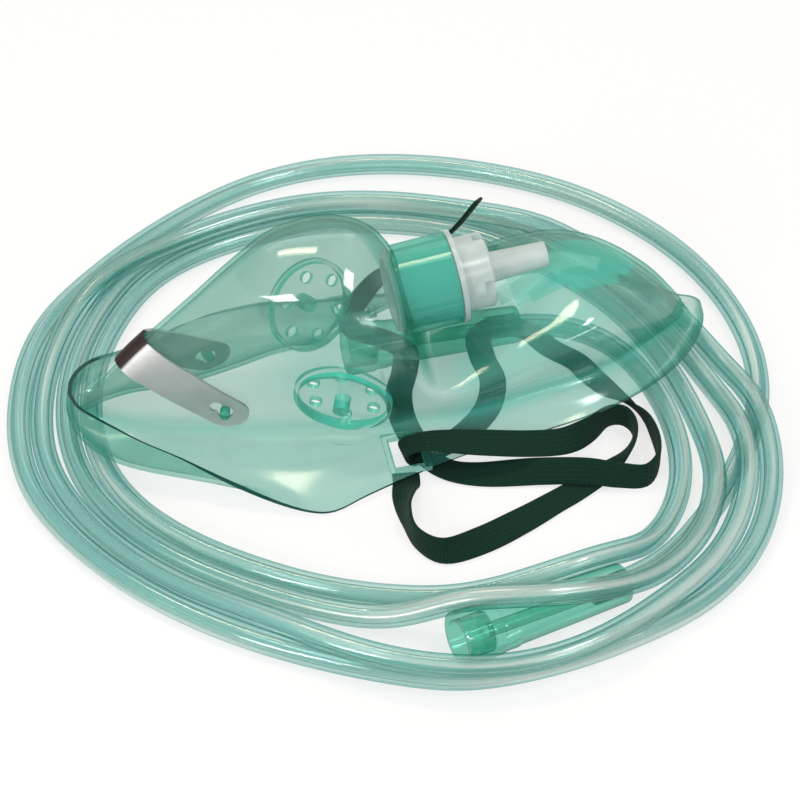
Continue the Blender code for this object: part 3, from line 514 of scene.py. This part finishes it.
CREST = (
    (-71.5, 0.0, 15.2), (-68.5, 0.0, 18.0), (-64.5, 0.0, 22.0), (-59.0, 0.0, 27.6),
    (-52.0, 0.0, 33.6), (-44.0, 0.0, 40.0), (-34.0, 0.0, 47.4), (-24.0, 0.0, 51.6),
    (-14.0, 0.0, 52.4), (-6.0, 0.0, 51.0), (0.0, 0.0, 46.2), (3.6, 0.0, 37.6),
    (8.6, 0.0, 17.6), (19.0, 0.0, 19.2), (32.0, 0.0, 24.8), (44.0, 0.0, 30.4),
    (52.0, 0.0, 30.6), (60.0, 0.0, 28.2), (67.0, 0.0, 23.4), (72.2, 0.0, 17.0),
    (74.8, 0.0, 13.2),
)
LINES = (RIM, ROLL, GUTTER, CREASE, WALL, SHOULDER, CREST)
PORT_BASE = Vector((4.5, 0.0, 31.4)) * MM
PORT_RISE = math.radians(6.0)
PORT_AXIS = Vector((math.cos(PORT_RISE), 0.0, math.sin(PORT_RISE)))
PORT_DIAMETER, PORT_BORE, PORT_LENGTH, PORT_ROOT = 22.0 * MM, 19.5 * MM, 10.4 * MM, 3.4 * MM
VENT_CENTRE = Vector((-16.2, 17.6, 15.8)) * MM
VENT_NORMAL = Vector((-0.385, 0.89, -0.26)).normalized()
VENT_DIAMETER, VENT_RING, VENT_RING_HEIGHT = 23.4 * MM, 1.1 * MM, 2.8 * MM
VENT_PLATE, VENT_SINK = 1.2 * MM, 0.7 * MM
VENT_HOLES, VENT_HOLE_DIAMETER, VENT_HOLE_CIRCLE = 6, 3.0 * MM, 16.0 * MM
STUD_DIAMETER, STUD_LENGTH = 3.8 * MM, 4.0 * MM
PAD_CENTRE = Vector((-3.2, 26.8, 4.1)) * MM
PAD_SIZE = Vector((10.0, 11.0, 1.8)) * MM
PAD_SLOT = Vector((7.2, 8.4, 12.0)) * MM
PAD_TILT = math.radians(12.0)


def moulding_grid(spoke_steps, row_steps):
    """Points of one half of the moulding's inner surface, as spokes by rows by xyz."""
    lines = [smooth_line(line, spoke_steps) for line in LINES]
    grid = []
    for spoke in zip(*lines):
        spoke = np.array(spoke)
        beyond = np.vstack([2 * spoke[0] - spoke[1], spoke, spoke[-2] * (1, -1, 1)])
        row = []
        for steps, a, b, c, d in zip(row_steps, beyond, beyond[1:], beyond[2:], beyond[3:]):
            row += [curve_point(a, b, c, d, t) for t in np.linspace(0, 1, steps, endpoint=False)]
        grid.append(row + [spoke[-1]])
    grid = np.array(grid)
    grid[:, -1, 1] = grid[0, :, 1] = grid[-1, :, 1] = 0.0
    return grid * MM + np.array(MASK_SHIFT)


def laid_on_grid(name, points):
    """A flat grid primitive whose corners are laid on a table of points, rows by columns."""
    deselect()
    rows, columns = points.shape[:2]
    bpy.ops.mesh.primitive_grid_add(x_subdivisions=columns - 1, y_subdivisions=rows - 1, size=1.0)
    piece = bpy.context.object
    piece.name = piece.data.name = name
    for vertex in piece.data.vertices:
        column, row = (round((vertex.co[i] + 0.5) * (n - 1)) for i, n in ((0, columns), (1, rows)))
        vertex.co = points[row, column]
    piece.matrix_world = Matrix()
    return piece


def select_only(piece):
    deselect()
    piece.select_set(True)
    bpy.context.view_layer.objects.active = piece


def faces_outward(piece, merge=0.0):
    """Merges corners closer than a distance, if one is given, and turns the faces outward."""
    select_only(piece)
    bpy.ops.object.mode_set(mode="EDIT")
    bpy.ops.mesh.select_all(action="SELECT")
    if merge:
        bpy.ops.mesh.remove_doubles(threshold=merge)
    bpy.ops.mesh.normals_make_consistent(inside=False)
    bpy.ops.object.mode_set(mode="OBJECT")


def finish_with(piece, kind, **settings):
    """Adds a modifier and applies it."""
    select_only(piece)
    modifier = piece.modifiers.new(kind.lower(), kind)
    for name, value in settings.items():
        setattr(modifier, name, value)
    bpy.ops.object.modifier_apply(modifier=modifier.name)


def along(direction, point):
    """Matrix that puts a piece's own Z along a direction at a point."""
    return Matrix.Translation(point) @ Vector(direction).to_track_quat("Z", "Y").to_matrix().to_4x4()


def bar(start, end, diameter, direction, point, sides=64, bevel=0.0):
    """A round bar from start to end along a direction through a point."""
    deselect()
    bpy.ops.mesh.primitive_cylinder_add(vertices=sides, radius=diameter / 2, depth=end - start)
    piece = bpy.context.object
    piece.data.transform(along(direction, point) @ Matrix.Translation((0, 0, (start + end) / 2)))
    if bevel:
        finish_with(piece, "BEVEL", width=bevel, segments=3, limit_method="ANGLE")
    return piece


def block(size, matrix):
    deselect()
    bpy.ops.mesh.primitive_cube_add(size=1.0)
    piece = bpy.context.object
    piece.data.transform(matrix @ Matrix.Diagonal((*size, 1.0)))
    return piece


def joined(pieces):
    deselect()
    for piece in pieces:
        piece.select_set(True)
    bpy.context.view_layer.objects.active = pieces[0]
    bpy.ops.object.join()
    return pieces[0]


def combine(piece, operation, tools, own_crossings=False):
    """Unites a piece with others, or cuts them out of it, and removes them."""
    tool = joined(tools)
    finish_with(piece, "BOOLEAN", operation=operation, solver="EXACT", object=tool, use_self=own_crossings)
    bpy.data.objects.remove(tool)


def side(vector, sign):
    return Vector((vector[0], vector[1] * sign, vector[2]))


def clamped(value, low=0.0, high=1.0):
    return min(high, max(low, value))


def smooth_by_angle(piece, degrees=40):
    select_only(piece)
    bpy.ops.object.shade_smooth_by_angle(angle=math.radians(degrees))


moulding = moulding_grid(FINE_SPOKES, FINE_ROWS)
face_piece = laid_on_grid("face_piece", moulding)
face_piece.data.materials.append(clear_plastic(
    "face_piece_vinyl", clear=(0.805, 0.888, 0.860), deep=(0.34, 0.74, 0.66), falloff=2.8, milky=0.08,
    milk=(0.14, 0.46, 0.40), gloss=0.07, ripple=0.00010, most_gloss=0.11, ior=1.40, thick_from="thick",
    thick_milk=(0.10, 0.72, 0.57), matt_from="matt", outline=(0.02, 0.46, 0.34),
))
face_piece.data.materials.append(clear_plastic(
    "cut_edge_vinyl", clear=(0.50, 0.80, 0.74), deep=(0.006, 0.12, 0.11), falloff=1.8, milky=0.10,
    milk=(0.30, 0.60, 0.52), gloss=0.1, most_gloss=0.02, thick_from="thick", thick_milk=(0.004, 0.055, 0.05),
))
finish_with(face_piece, "MIRROR", use_axis=(False, True, False), merge_threshold=0.00002)
faces_outward(face_piece, 0.01 * MM)
crease = smooth_line(CREASE, 10) * MM + np.array(MASK_SHIFT)
for vertex in face_piece.data.vertices:  # by the chin the flange lies folded in on its far side
    foot = np.interp(vertex.co.x, crease[:, 0], crease[:, 1])
    if vertex.co.y > foot:
        share = clamped((vertex.co.x - FOLD_START) / FOLD_LENGTH)
        vertex.co.y = foot + (vertex.co.y - foot) * (1 - FOLD_SHARE * share * share * (3 - 2 * share))
top = max(face_piece.data.polygons, key=lambda polygon: polygon.center.z)
if top.normal.z < 0:
    face_piece.data.flip_normals()
finish_with(face_piece, "SOLIDIFY", thickness=MASK_WALL, offset=1, use_even_offset=True, material_offset_rim=1)

extras = [bar(-PORT_ROOT, PORT_LENGTH, PORT_DIAMETER, PORT_AXIS, PORT_BASE, 96)]
cuts = [bar(-PORT_ROOT - 4 * MM, PORT_LENGTH + 2 * MM, PORT_BORE, PORT_AXIS, PORT_BASE, 96)]
studs = []
for sign in (1, -1):
    centre, normal = side(VENT_CENTRE, sign), side(VENT_NORMAL, sign)
    low, high = -VENT_PLATE - VENT_SINK, VENT_RING_HEIGHT - VENT_PLATE - VENT_SINK
    extras.append(bar(low, high, VENT_DIAMETER, normal, centre, 72))
    cuts.append(bar(-VENT_SINK, 6 * MM, VENT_DIAMETER - 2 * VENT_RING, normal, centre, 72))
    disc = along(normal, centre)
    for i in range(VENT_HOLES):
        turn = math.tau * (i + 0.5) / VENT_HOLES
        spot = disc @ (Vector((math.cos(turn), math.sin(turn), 0)) * VENT_HOLE_CIRCLE / 2)
        cuts.append(bar(-7 * MM, 2 * MM, VENT_HOLE_DIAMETER, normal, spot, 24))
    studs.append(bar(-VENT_SINK - VENT_PLATE / 2, STUD_LENGTH - VENT_SINK, STUD_DIAMETER, normal, centre, 32))
    pad = Matrix.Translation(side(PAD_CENTRE, sign)) @ Matrix.Rotation(-sign * PAD_TILT, 4, "X")
    extras.append(block(PAD_SIZE, pad))
    cuts.append(block(PAD_SLOT, pad))
combine(face_piece, "UNION", extras, True)
combine(face_piece, "DIFFERENCE", cuts, True)
combine(face_piece, "UNION", studs)
smooth_by_angle(face_piece)

# The vinyl is thicker, and so greener, at the foot of the domes, the collar, the vents' rings and studs
# and round their holes, and in the pads, and the cut edge is darkest round the nose. The flange is
# thicker in front than behind, and its surface is duller than the domes'.
crease_spots = KDTree(len(crease))
for k, spot in enumerate(crease):
    crease_spots.insert(spot, k)
crease_spots.balance()
PORT_THICK, SIDE_THICK, TOP_THICK, PAD_THICK, CREASE_THICK = 0.42, 0.72, 0.14, 0.40, 0.26
NEAR_FLANGE_THICK, FAR_FLANGE_THICK = 0.11, -0.10
CHIN_THICK, FLOW_THICK = 0.10, 0.09
SPREAD, PAD_REACH = 0.15 * MM, Vector((5.2, 5.9, 3.0)) * MM


def height_and_offset(spot, point, direction):
    """How far a spot is along a direction from a point, and how far off that axis."""
    height = (spot - point).dot(direction)
    return height, (spot - point - direction * height).length


def moulded_part(spots, normal):
    """Thickness of the part that a face belongs to, by its corners, or None on the plain wall."""
    sign = 1 if spots[0].y > 0 else -1
    places = [height_and_offset(spot, PORT_BASE, PORT_AXIS) for spot in spots]
    if all(off < PORT_DIAMETER / 2 + SPREAD and -PORT_ROOT - MM < rise for rise, off in places):
        return PORT_THICK
    centre, outward = side(VENT_CENTRE, sign), side(VENT_NORMAL, sign)
    places = [height_and_offset(spot, centre, outward) for spot in spots]
    if all(-3 * MM < rise < STUD_LENGTH for rise, off in places):
        offs = [off for rise, off in places]
        on_stud = max(offs) < STUD_DIAMETER / 2 + SPREAD
        on_ring = min(offs) > VENT_DIAMETER / 2 - VENT_RING - SPREAD and max(offs) < VENT_DIAMETER / 2 + SPREAD
        in_hole = all(abs(off - VENT_HOLE_CIRCLE / 2) < VENT_HOLE_DIAMETER / 2 + SPREAD for off in offs)
        upright = abs(normal.dot(outward)) < 0.3
        if on_stud or on_ring or (in_hole and upright):
            return SIDE_THICK if upright else TOP_THICK
    pads = [spot - side(PAD_CENTRE, sign) for spot in spots]
    in_pad = all(abs(p[i]) < PAD_REACH[i] for p in pads for i in range(3))
    if in_pad and abs(normal.z) < 0.8:
        return PAD_THICK
    return None


for name in ("thick", "matt"):
    face_piece.data.attributes.new(name, "FLOAT", "CORNER")
thick, matt = (face_piece.data.attributes[name] for name in ("thick", "matt"))
for polygon in face_piece.data.polygons:
    spots = [face_piece.data.vertices[k].co for k in polygon.vertices]
    part = moulded_part(spots, polygon.normal)
    for loop, spot in zip(polygon.loop_indices, spots):
        if polygon.material_index == 1:
            value = clamped(1 - (spot.x - 2 * MM) / (45 * MM), 0.20, 1.0 if spot.y < 12 * MM else 0.3)
        elif part is not None:
            value = part
        else:
            near = crease_spots.find(side(spot, 1 if spot.y > 0 else -1))[2]
            on_flange = clamped((abs(spot.y) - np.interp(spot.x, crease[:, 0], crease[:, 1])) / (3 * MM))
            matt.data[loop].value = on_flange
            value = CREASE_THICK * math.exp(-(near / (2.2 * MM)) ** 2)
            value += on_flange * (NEAR_FLANGE_THICK if spot.y < 0 else FAR_FLANGE_THICK)
            chin_share = clamped((spot.x - 6 * MM) / (9 * MM))  # from the foot of the collar on
            chin_share *= 0.9 - 0.5 * clamped(spot.y / (9 * MM), -1.0)  # most in front
            chin_share *= clamped((70 * MM - spot.x) / (26 * MM), 0.6, 1.3)  # least by the chin
            chin_share *= 1 - on_flange
            flow_mark = noise.noise(Vector((spot.x * 22, spot.y * 90, spot.z * 90)))
            value += chin_share * (CHIN_THICK + FLOW_THICK * max(0.0, flow_mark))
        thick.data[loop].value = value
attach(face_piece, "root")
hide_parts("mask_shell")

# Nose strip
# A strip of dull rolled aluminium, pinched over the bridge of the nose. A keyhole near each rounded end
# snaps over a post of the moulding.
CLIP_FOLD = np.array((-62.1, 26.4)) * MM  # x and z
CLIP_DOWN, CLIP_ACROSS = np.array((0.795, -0.607)), np.array((0.607, 0.795))
CLIP_LENGTH, CLIP_WIDTH, CLIP_THICKNESS, CLIP_GAP = 29.5 * MM, 9.2 * MM, 0.7 * MM, 0.5 * MM
CLIP_HOLE_DIAMETER, CLIP_HOLE_FROM_END, CLIP_SLOT = 3.8 * MM, 5.2 * MM, 2.6 * MM
POST_DIAMETER, POST_LENGTH = 2.4 * MM, 3.0 * MM
CLIP_STATIONS = (0, 0.01, 0.02, 0.035, 0.05, 0.075, 0.1, 0.14, 0.18, 0.24, 0.3, 0.375, 0.45, 0.525, 0.6, 0.66,
                 0.72, 0.785, 0.85, 0.875, 0.9, 0.92, 0.94, 0.955, 0.97, 0.98, 0.99, 0.995, 1.0)
CLIP_COLUMNS = 9

bm = bmesh.new()
under = moulding_grid(8, [2 * n for n in FINE_ROWS])
corners = [[bm.verts.new(p) for p in row] for row in under]
for first, second in zip(corners, corners[1:]):
    for i in range(len(first) - 1):
        bm.faces.new((first[i], first[i + 1], second[i + 1], second[i]))
wall_tree = BVHTree.FromBMesh(bm)
bm.free()
ridge = under[:, -1, :][:, (0, 2)]
strip_grid = []
for station in CLIP_STATIONS:
    s = station * CLIP_LENGTH
    past = max(0.0, 2 * (s - CLIP_LENGTH) / CLIP_WIDTH + 1)
    half = CLIP_WIDTH / 2 * math.sqrt(1 - min(past, 0.97) ** 2)
    row = []
    for w in np.linspace(-half, half, CLIP_COLUMNS):
        offsets = (ridge - (CLIP_FOLD + CLIP_ACROSS * w)) @ CLIP_ACROSS
        k = int(np.argmax(offsets > 0)) - 1
        top = ridge[k] - (ridge[k + 1] - ridge[k]) * offsets[k] / (offsets[k + 1] - offsets[k])
        x, z = top + CLIP_DOWN * s
        spot = (x, 0.0, z) if s == 0 else wall_tree.ray_cast(Vector((x, 0, z)), Vector((0, 1, 0)))[0]
        row.append(tuple(spot))
    strip_grid.append(row)
strip_grid = np.array(strip_grid)
beyond = np.concatenate([strip_grid[1:2] * (1, -1, 1), strip_grid, 2 * strip_grid[-1:] - strip_grid[-2:-1]])
strip_normal = np.cross(beyond[2:] - beyond[:-2], np.gradient(strip_grid, axis=1))
strip_normal /= np.linalg.norm(strip_normal, axis=2, keepdims=True)
if strip_normal[len(strip_grid) // 2, CLIP_COLUMNS // 2, 1] < 0:
    strip_normal = -strip_normal
lying = strip_grid + strip_normal * (MASK_WALL + CLIP_GAP)
lying[0, :, 1] = 0.0


def strip_frame(distance, sign):
    """Point, normal and direction of the strip's middle at a distance from its fold."""
    s = np.array(CLIP_STATIONS) * CLIP_LENGTH
    middle = CLIP_COLUMNS // 2
    point = [np.interp(distance, s, strip_grid[:, middle, i]) for i in range(3)]
    normal = [np.interp(distance, s, strip_normal[:, middle, i]) for i in range(3)]
    ahead = [np.interp(distance + 1 * MM, s, strip_grid[:, middle, i]) for i in range(3)]
    point, normal, ahead = (side(v, sign) for v in (point, normal, ahead))
    return point, normal.normalized(), (ahead - point).normalized()


strip = laid_on_grid("nose_strip", lying)
finish_with(strip, "MIRROR", use_axis=(False, True, False), merge_threshold=0.00002)
faces_outward(strip)
outwards = sum(p.normal.y * (1 if p.center.y > 0 else -1) for p in strip.data.polygons)
if outwards < 0:
    strip.data.flip_normals()
finish_with(strip, "SOLIDIFY", thickness=CLIP_THICKNESS, offset=1, use_even_offset=True)
keyholes, slots = [], []
for sign in (1, -1):
    point, normal, down = strip_frame(CLIP_LENGTH - CLIP_HOLE_FROM_END, sign)
    keyholes.append(bar(-1 * MM, 5 * MM, CLIP_HOLE_DIAMETER, normal, point, 40))
    slots.append(bar(-1 * MM, 5 * MM, CLIP_HOLE_DIAMETER * 0.8, normal, point - down * CLIP_SLOT, 40))
combine(strip, "DIFFERENCE", keyholes)
combine(strip, "DIFFERENCE", slots)
smooth_by_angle(strip)

material, tree = new_material("rolled_aluminium")
place = shader_node(tree, "ShaderNodeTexCoord").outputs["Object"]
grain_place = shader_node(tree, "ShaderNodeMapping", {"Vector": place, "Scale": (0.1, 0.1, 2.0)})
grain = shader_node(tree, "ShaderNodeTexNoise", {"Vector": grain_place, "Scale": 2200.0, "Detail": 4.0})
stain = shader_node(tree, "ShaderNodeTexNoise", {"Vector": place, "Scale": 180.0, "Detail": 3.0})
colour = blended(tree, stain, (0.50, 0.49, 0.48), (0.66, 0.65, 0.64))
# Painted reflection: a dark brown band along the top of the fold, standing in for the dark room mirrored in the
# bent metal
across_fold = shader_node(tree, "ShaderNodeSeparateXYZ", {"Vector": place}).outputs["Y"]
across_fold = worked_out(tree, "ABSOLUTE", across_fold)
fold = shader_node(tree, "ShaderNodeMapRange", {"Value": across_fold, "From Min": 0.0024, "From Max": 0.0029,
                   "To Min": 0.95, "To Max": 0.0})
colour = blended(tree, fold, colour, (0.028, 0.013, 0.010))
rough = shader_node(tree, "ShaderNodeMapRange", {"Value": grain, "To Min": 0.44, "To Max": 0.60})
bump = shader_node(tree, "ShaderNodeBump", {"Height": grain, "Distance": 0.00004, "Strength": 0.6})
metal = shader_node(tree, "ShaderNodeBsdfPrincipled", {"Base Color": colour, "Metallic": 1.0,
                    "Roughness": rough, "Normal": bump})
shader_node(tree, "ShaderNodeOutputMaterial", {"Surface": metal})
strip.data.materials.append(material)
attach(strip, "root")
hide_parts("nose_clip")

# Posts that hold the nose strip
# Short round posts of the moulding's own vinyl, each with a rounded head, standing in the keyholes.
posts = []
for sign in (1, -1):
    point, normal, _ = strip_frame(CLIP_LENGTH - CLIP_HOLE_FROM_END, sign)
    posts.append(bar(MASK_WALL, MASK_WALL + POST_LENGTH, POST_DIAMETER, normal, point, 32, 0.4 * MM))
posts = joined(posts)
posts.name = posts.data.name = "strip_posts"
smooth_by_angle(posts)
posts.data.materials.append(clear_plastic(
    "post_vinyl", clear=(0.38, 0.80, 0.68), deep=(0.04, 0.42, 0.33), falloff=1.6, milky=0.30,
    milk=(0.06, 0.50, 0.38), gloss=0.08,
))
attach(posts, "root")

# Swivelling connector
# A frosted, nearly colourless moulding that snaps into the port and turns in it: a thin flange against
# the collar, a hub with four notches for the fingers, and a tapered stem for the tube's cup.
FIT_GAP = 0.3 * MM
FLANGE_DIAMETER, FLANGE_THICKNESS = 22.6 * MM, 1.2 * MM
SPIGOT_WALL = 1.2 * MM
HUB_DIAMETER, HUB_LENGTH, HUB_EDGE = 18.0 * MM, 7.4 * MM, 0.5 * MM
HUB_NOTCHES, HUB_NOTCH, NOTCH_TURN = 4, Vector((3.0, 1.6, 2.6)) * MM, math.radians(32)
STEM_ROOT_DIAMETER, STEM_TIP_DIAMETER, STEM_LENGTH, STEM_BORE = 7.4 * MM, 6.1 * MM, 14.4 * MM, 3.2 * MM
SNAP_LIP, LIP_LENGTH = 0.5 * MM, 1.2 * MM


def turned(name, profile, point, direction, steps=96):
    """A closed profile of distances and radii, spun about an axis."""
    deselect()
    bpy.ops.mesh.primitive_circle_add(vertices=len(profile), radius=1.0)
    piece = bpy.context.object
    piece.name = piece.data.name = name
    for vertex, (distance, radius) in zip(piece.data.vertices, profile):
        vertex.co = (radius, 0.0, distance)
    bpy.ops.object.mode_set(mode="EDIT")
    bpy.ops.mesh.select_all(action="SELECT")
    bpy.ops.mesh.spin(steps=steps, angle=math.tau, center=(0, 0, 0), axis=(0, 0, 1))
    faces_outward(piece, 0.005 * MM)
    piece.data.transform(along(direction, point))
    return piece


port_back = PORT_LENGTH + FIT_GAP
port_front = port_back + FLANGE_THICKNESS
hub_end = port_front + HUB_LENGTH
tip = hub_end + STEM_LENGTH
spigot = PORT_BORE / 2 - FIT_GAP
root = -PORT_ROOT - FIT_GAP
inside = spigot - SPIGOT_WALL
hub = HUB_DIAMETER / 2
connector = turned("port_connector", (
    (root - LIP_LENGTH, spigot), (root, PORT_BORE / 2 + SNAP_LIP), (root, spigot), (port_back, spigot),
    (port_back, FLANGE_DIAMETER / 2), (port_front, FLANGE_DIAMETER / 2), (port_front, hub),
    (hub_end - HUB_EDGE, hub), (hub_end, hub - HUB_EDGE), (hub_end, STEM_ROOT_DIAMETER / 2),
    (tip, STEM_TIP_DIAMETER / 2), (tip, STEM_BORE / 2), (hub_end - SPIGOT_WALL, STEM_BORE / 2),
    (port_front, inside), (root - LIP_LENGTH, inside),
), PORT_BASE, PORT_AXIS)
port_frame = along(PORT_AXIS, PORT_BASE)
notches = []
for i in range(HUB_NOTCHES):
    turn = Matrix.Rotation(math.tau * (i + 0.5) / HUB_NOTCHES + NOTCH_TURN, 4, "Z")
    spot = Matrix.Translation((hub, 0, hub_end))
    notches.append(block((2 * HUB_NOTCH[1], HUB_NOTCH[0], 2 * HUB_NOTCH[2]), port_frame @ turn @ spot))
combine(connector, "DIFFERENCE", notches)
finish_with(connector, "BEVEL", width=0.15 * MM, segments=2, limit_method="ANGLE", angle_limit=math.radians(40))
smooth_by_angle(connector)

material, tree = new_material("frosted_plastic")
place = shader_node(tree, "ShaderNodeTexCoord").outputs["Object"]
uneven = shader_node(tree, "ShaderNodeGroup", {"Place": place, "Scale": 160.0, "Fine": 0.15},
                     node_tree=surface_flow)
bump = shader_node(tree, "ShaderNodeBump", {"Height": uneven, "Distance": 0.0002, "Strength": 0.8})
colour = blended(tree, uneven, (0.54, 0.64, 0.62), (0.74, 0.81, 0.80))
skin = shader_node(tree, "ShaderNodeBsdfPrincipled", {"Base Color": colour, "Roughness": 0.22,
                   "Normal": bump})
through = shader_node(tree, "ShaderNodeBsdfTransparent", {"Color": (0.84, 0.91, 0.90, 1)})
whole = shader_node(tree, "ShaderNodeMixShader", {"Fac": 0.62, 1: through, 2: skin})
shader_node(tree, "ShaderNodeOutputMaterial", {"Surface": whole})
connector.data.materials.append(material)
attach(connector, "connector")
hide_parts("swivel_connector")

# Tubing connectors
# A long clear green cup is bonded on each end of the tube: one for the flow meter, in front of the
# mask, and one for the port's stem, lying loose under the chin dome.
CUP_BORE, CUP_DEPTH = 9.4, 7.0
CUP_SOCKET, CUP_SOCKET_DEPTH = 5.6, 8.0
CUP_PROFILE = (
    (0.0, 12.6), (0.3, 13.0), (6.2, 12.8), (6.7, 12.5), (6.9, 12.0), (9.4, 12.0), (9.8, 11.8), (10.0, 11.5),
    (13.2, 11.4), (13.8, 11.2), (14.2, 10.8), (22.0, 10.4), (30.0, 10.0), (43.4, 9.2), (43.9, 8.9), (44.0, 8.6),
)
MASK_END_MOUTH, MASK_END_TAIL = np.array((-9.6, 7.6, 8.2)), np.array((34.2, 7.6, 6.8))
cup_plastic = clear_plastic(
    "cup_plastic", clear=(0.54, 0.85, 0.77), deep=(0.04, 0.42, 0.32), falloff=2.2, milky=0.09,
    milk=(0.07, 0.50, 0.39), gloss=0.06, flow=120.0, ripple=0.00003,
)
for name, node_name, mouth, tail in (
    ("flowmeter_cup", "flowmeter_connector", FLOWMETER_MOUTH, FLOWMETER_TAIL),
    ("mask_end_cup", "mask_tube_connector", MASK_END_MOUTH, MASK_END_TAIL),
):
    length = np.linalg.norm(tail - mouth)
    scale = length / CUP_PROFILE[-1][0]
    profile = [(d * scale, diameter / 2) for d, diameter in CUP_PROFILE]
    profile += [(length, CUP_SOCKET / 2), (length - CUP_SOCKET_DEPTH, CUP_SOCKET / 2),
                (length - CUP_SOCKET_DEPTH, STEM_BORE / MM / 2), (CUP_DEPTH, STEM_BORE / MM / 2),
                (CUP_DEPTH, CUP_BORE / 2), (0.0, CUP_BORE / 2)]
    cup = turned(name, [(d * MM, r * MM) for d, r in profile], Vector(mouth) * MM, Vector(tail - mouth), 64)
    smooth_by_angle(cup, 30)
    cup.data.materials.append(cup_plastic)
    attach(cup, "root")
    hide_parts(node_name)

# Table and light
# A plain white table under a room's lamps: a window on the left, white and warm ceiling lamps, a long
# white lamp behind and a softer one in front on the right.
deselect()
bpy.ops.mesh.primitive_plane_add(size=6.0)
table = bpy.context.object
table.name = "table"
material, tree = new_material("white_table")
rays = shader_node(tree, "ShaderNodeLightPath").outputs
seen = worked_out(tree, "MAXIMUM", rays["Is Camera Ray"], rays["Is Glossy Ray"])
seen = worked_out(tree, "MAXIMUM", seen, rays["Is Transmission Ray"])
share = worked_out(tree, "MULTIPLY", seen, 0.72)
lit = shader_node(tree, "ShaderNodeBsdfDiffuse", {"Color": (0.90, 0.90, 0.90, 1)})
white = shader_node(tree, "ShaderNodeEmission", {"Color": (1, 1, 1, 1), "Strength": 1.0})
whole = shader_node(tree, "ShaderNodeMixShader", {"Fac": share, 1: lit, 2: white})
shader_node(tree, "ShaderNodeOutputMaterial", {"Surface": whole})
table.data.materials.append(material)

world = bpy.data.worlds.new("room")
bpy.context.scene.world = world
world.use_nodes = True
sky = world.node_tree
rays = shader_node(sky, "ShaderNodeLightPath").outputs
seen = worked_out(sky, "MAXIMUM", rays["Is Camera Ray"], rays["Is Glossy Ray"])
strength = shader_node(sky, "ShaderNodeMapRange", {"Value": seen, "To Min": 0.44, "To Max": 0.80})
sky.nodes["Background"].inputs["Color"].default_value = (0.95, 0.97, 1.0, 1)
sky.links.new(strength.outputs[0], sky.nodes["Background"].inputs["Strength"])

LAMPS = (  # name, direction from the object, turn in degrees, width, height, watts, colour
    ("window", (-0.66, -0.58, 0.48), 50, 0.34, 0.13, 3.0, (1.0, 1.0, 1.0)),
    ("ceiling", (0.35, -0.31, 0.88), 20, 0.19, 0.12, 1.6, (1.0, 1.0, 1.0)),
    ("warm_ceiling", (-0.12, 0.26, 0.95), -43, 0.44, 0.13, 2.7, (1.0, 0.82, 0.58)),
    ("behind", (0.10, 0.74, 0.66), 0, 0.90, 0.30, 0.9, (1.0, 1.0, 1.0)),
    ("front", (0.38, -0.70, 0.60), 0, 0.34, 0.10, 1.0, (0.96, 0.98, 1.0)),
)
LAMP_DISTANCE = 0.9
for name, direction, turn, width, height, watts, colour in LAMPS:
    direction = Vector(direction).normalized()
    facing = direction.to_track_quat("Z", "Y") @ Matrix.Rotation(math.radians(turn), 3, "Z").to_quaternion()
    bpy.ops.object.light_add(type="AREA", location=direction * LAMP_DISTANCE, rotation=facing.to_euler())
    lamp = bpy.context.object
    lamp.name = name
    lamp.data.shape = "RECTANGLE"
    lamp.data.size, lamp.data.size_y = width, height
    lamp.data.energy = watts
    lamp.data.color = colour

bpy.context.scene.view_settings.view_transform = "Standard"
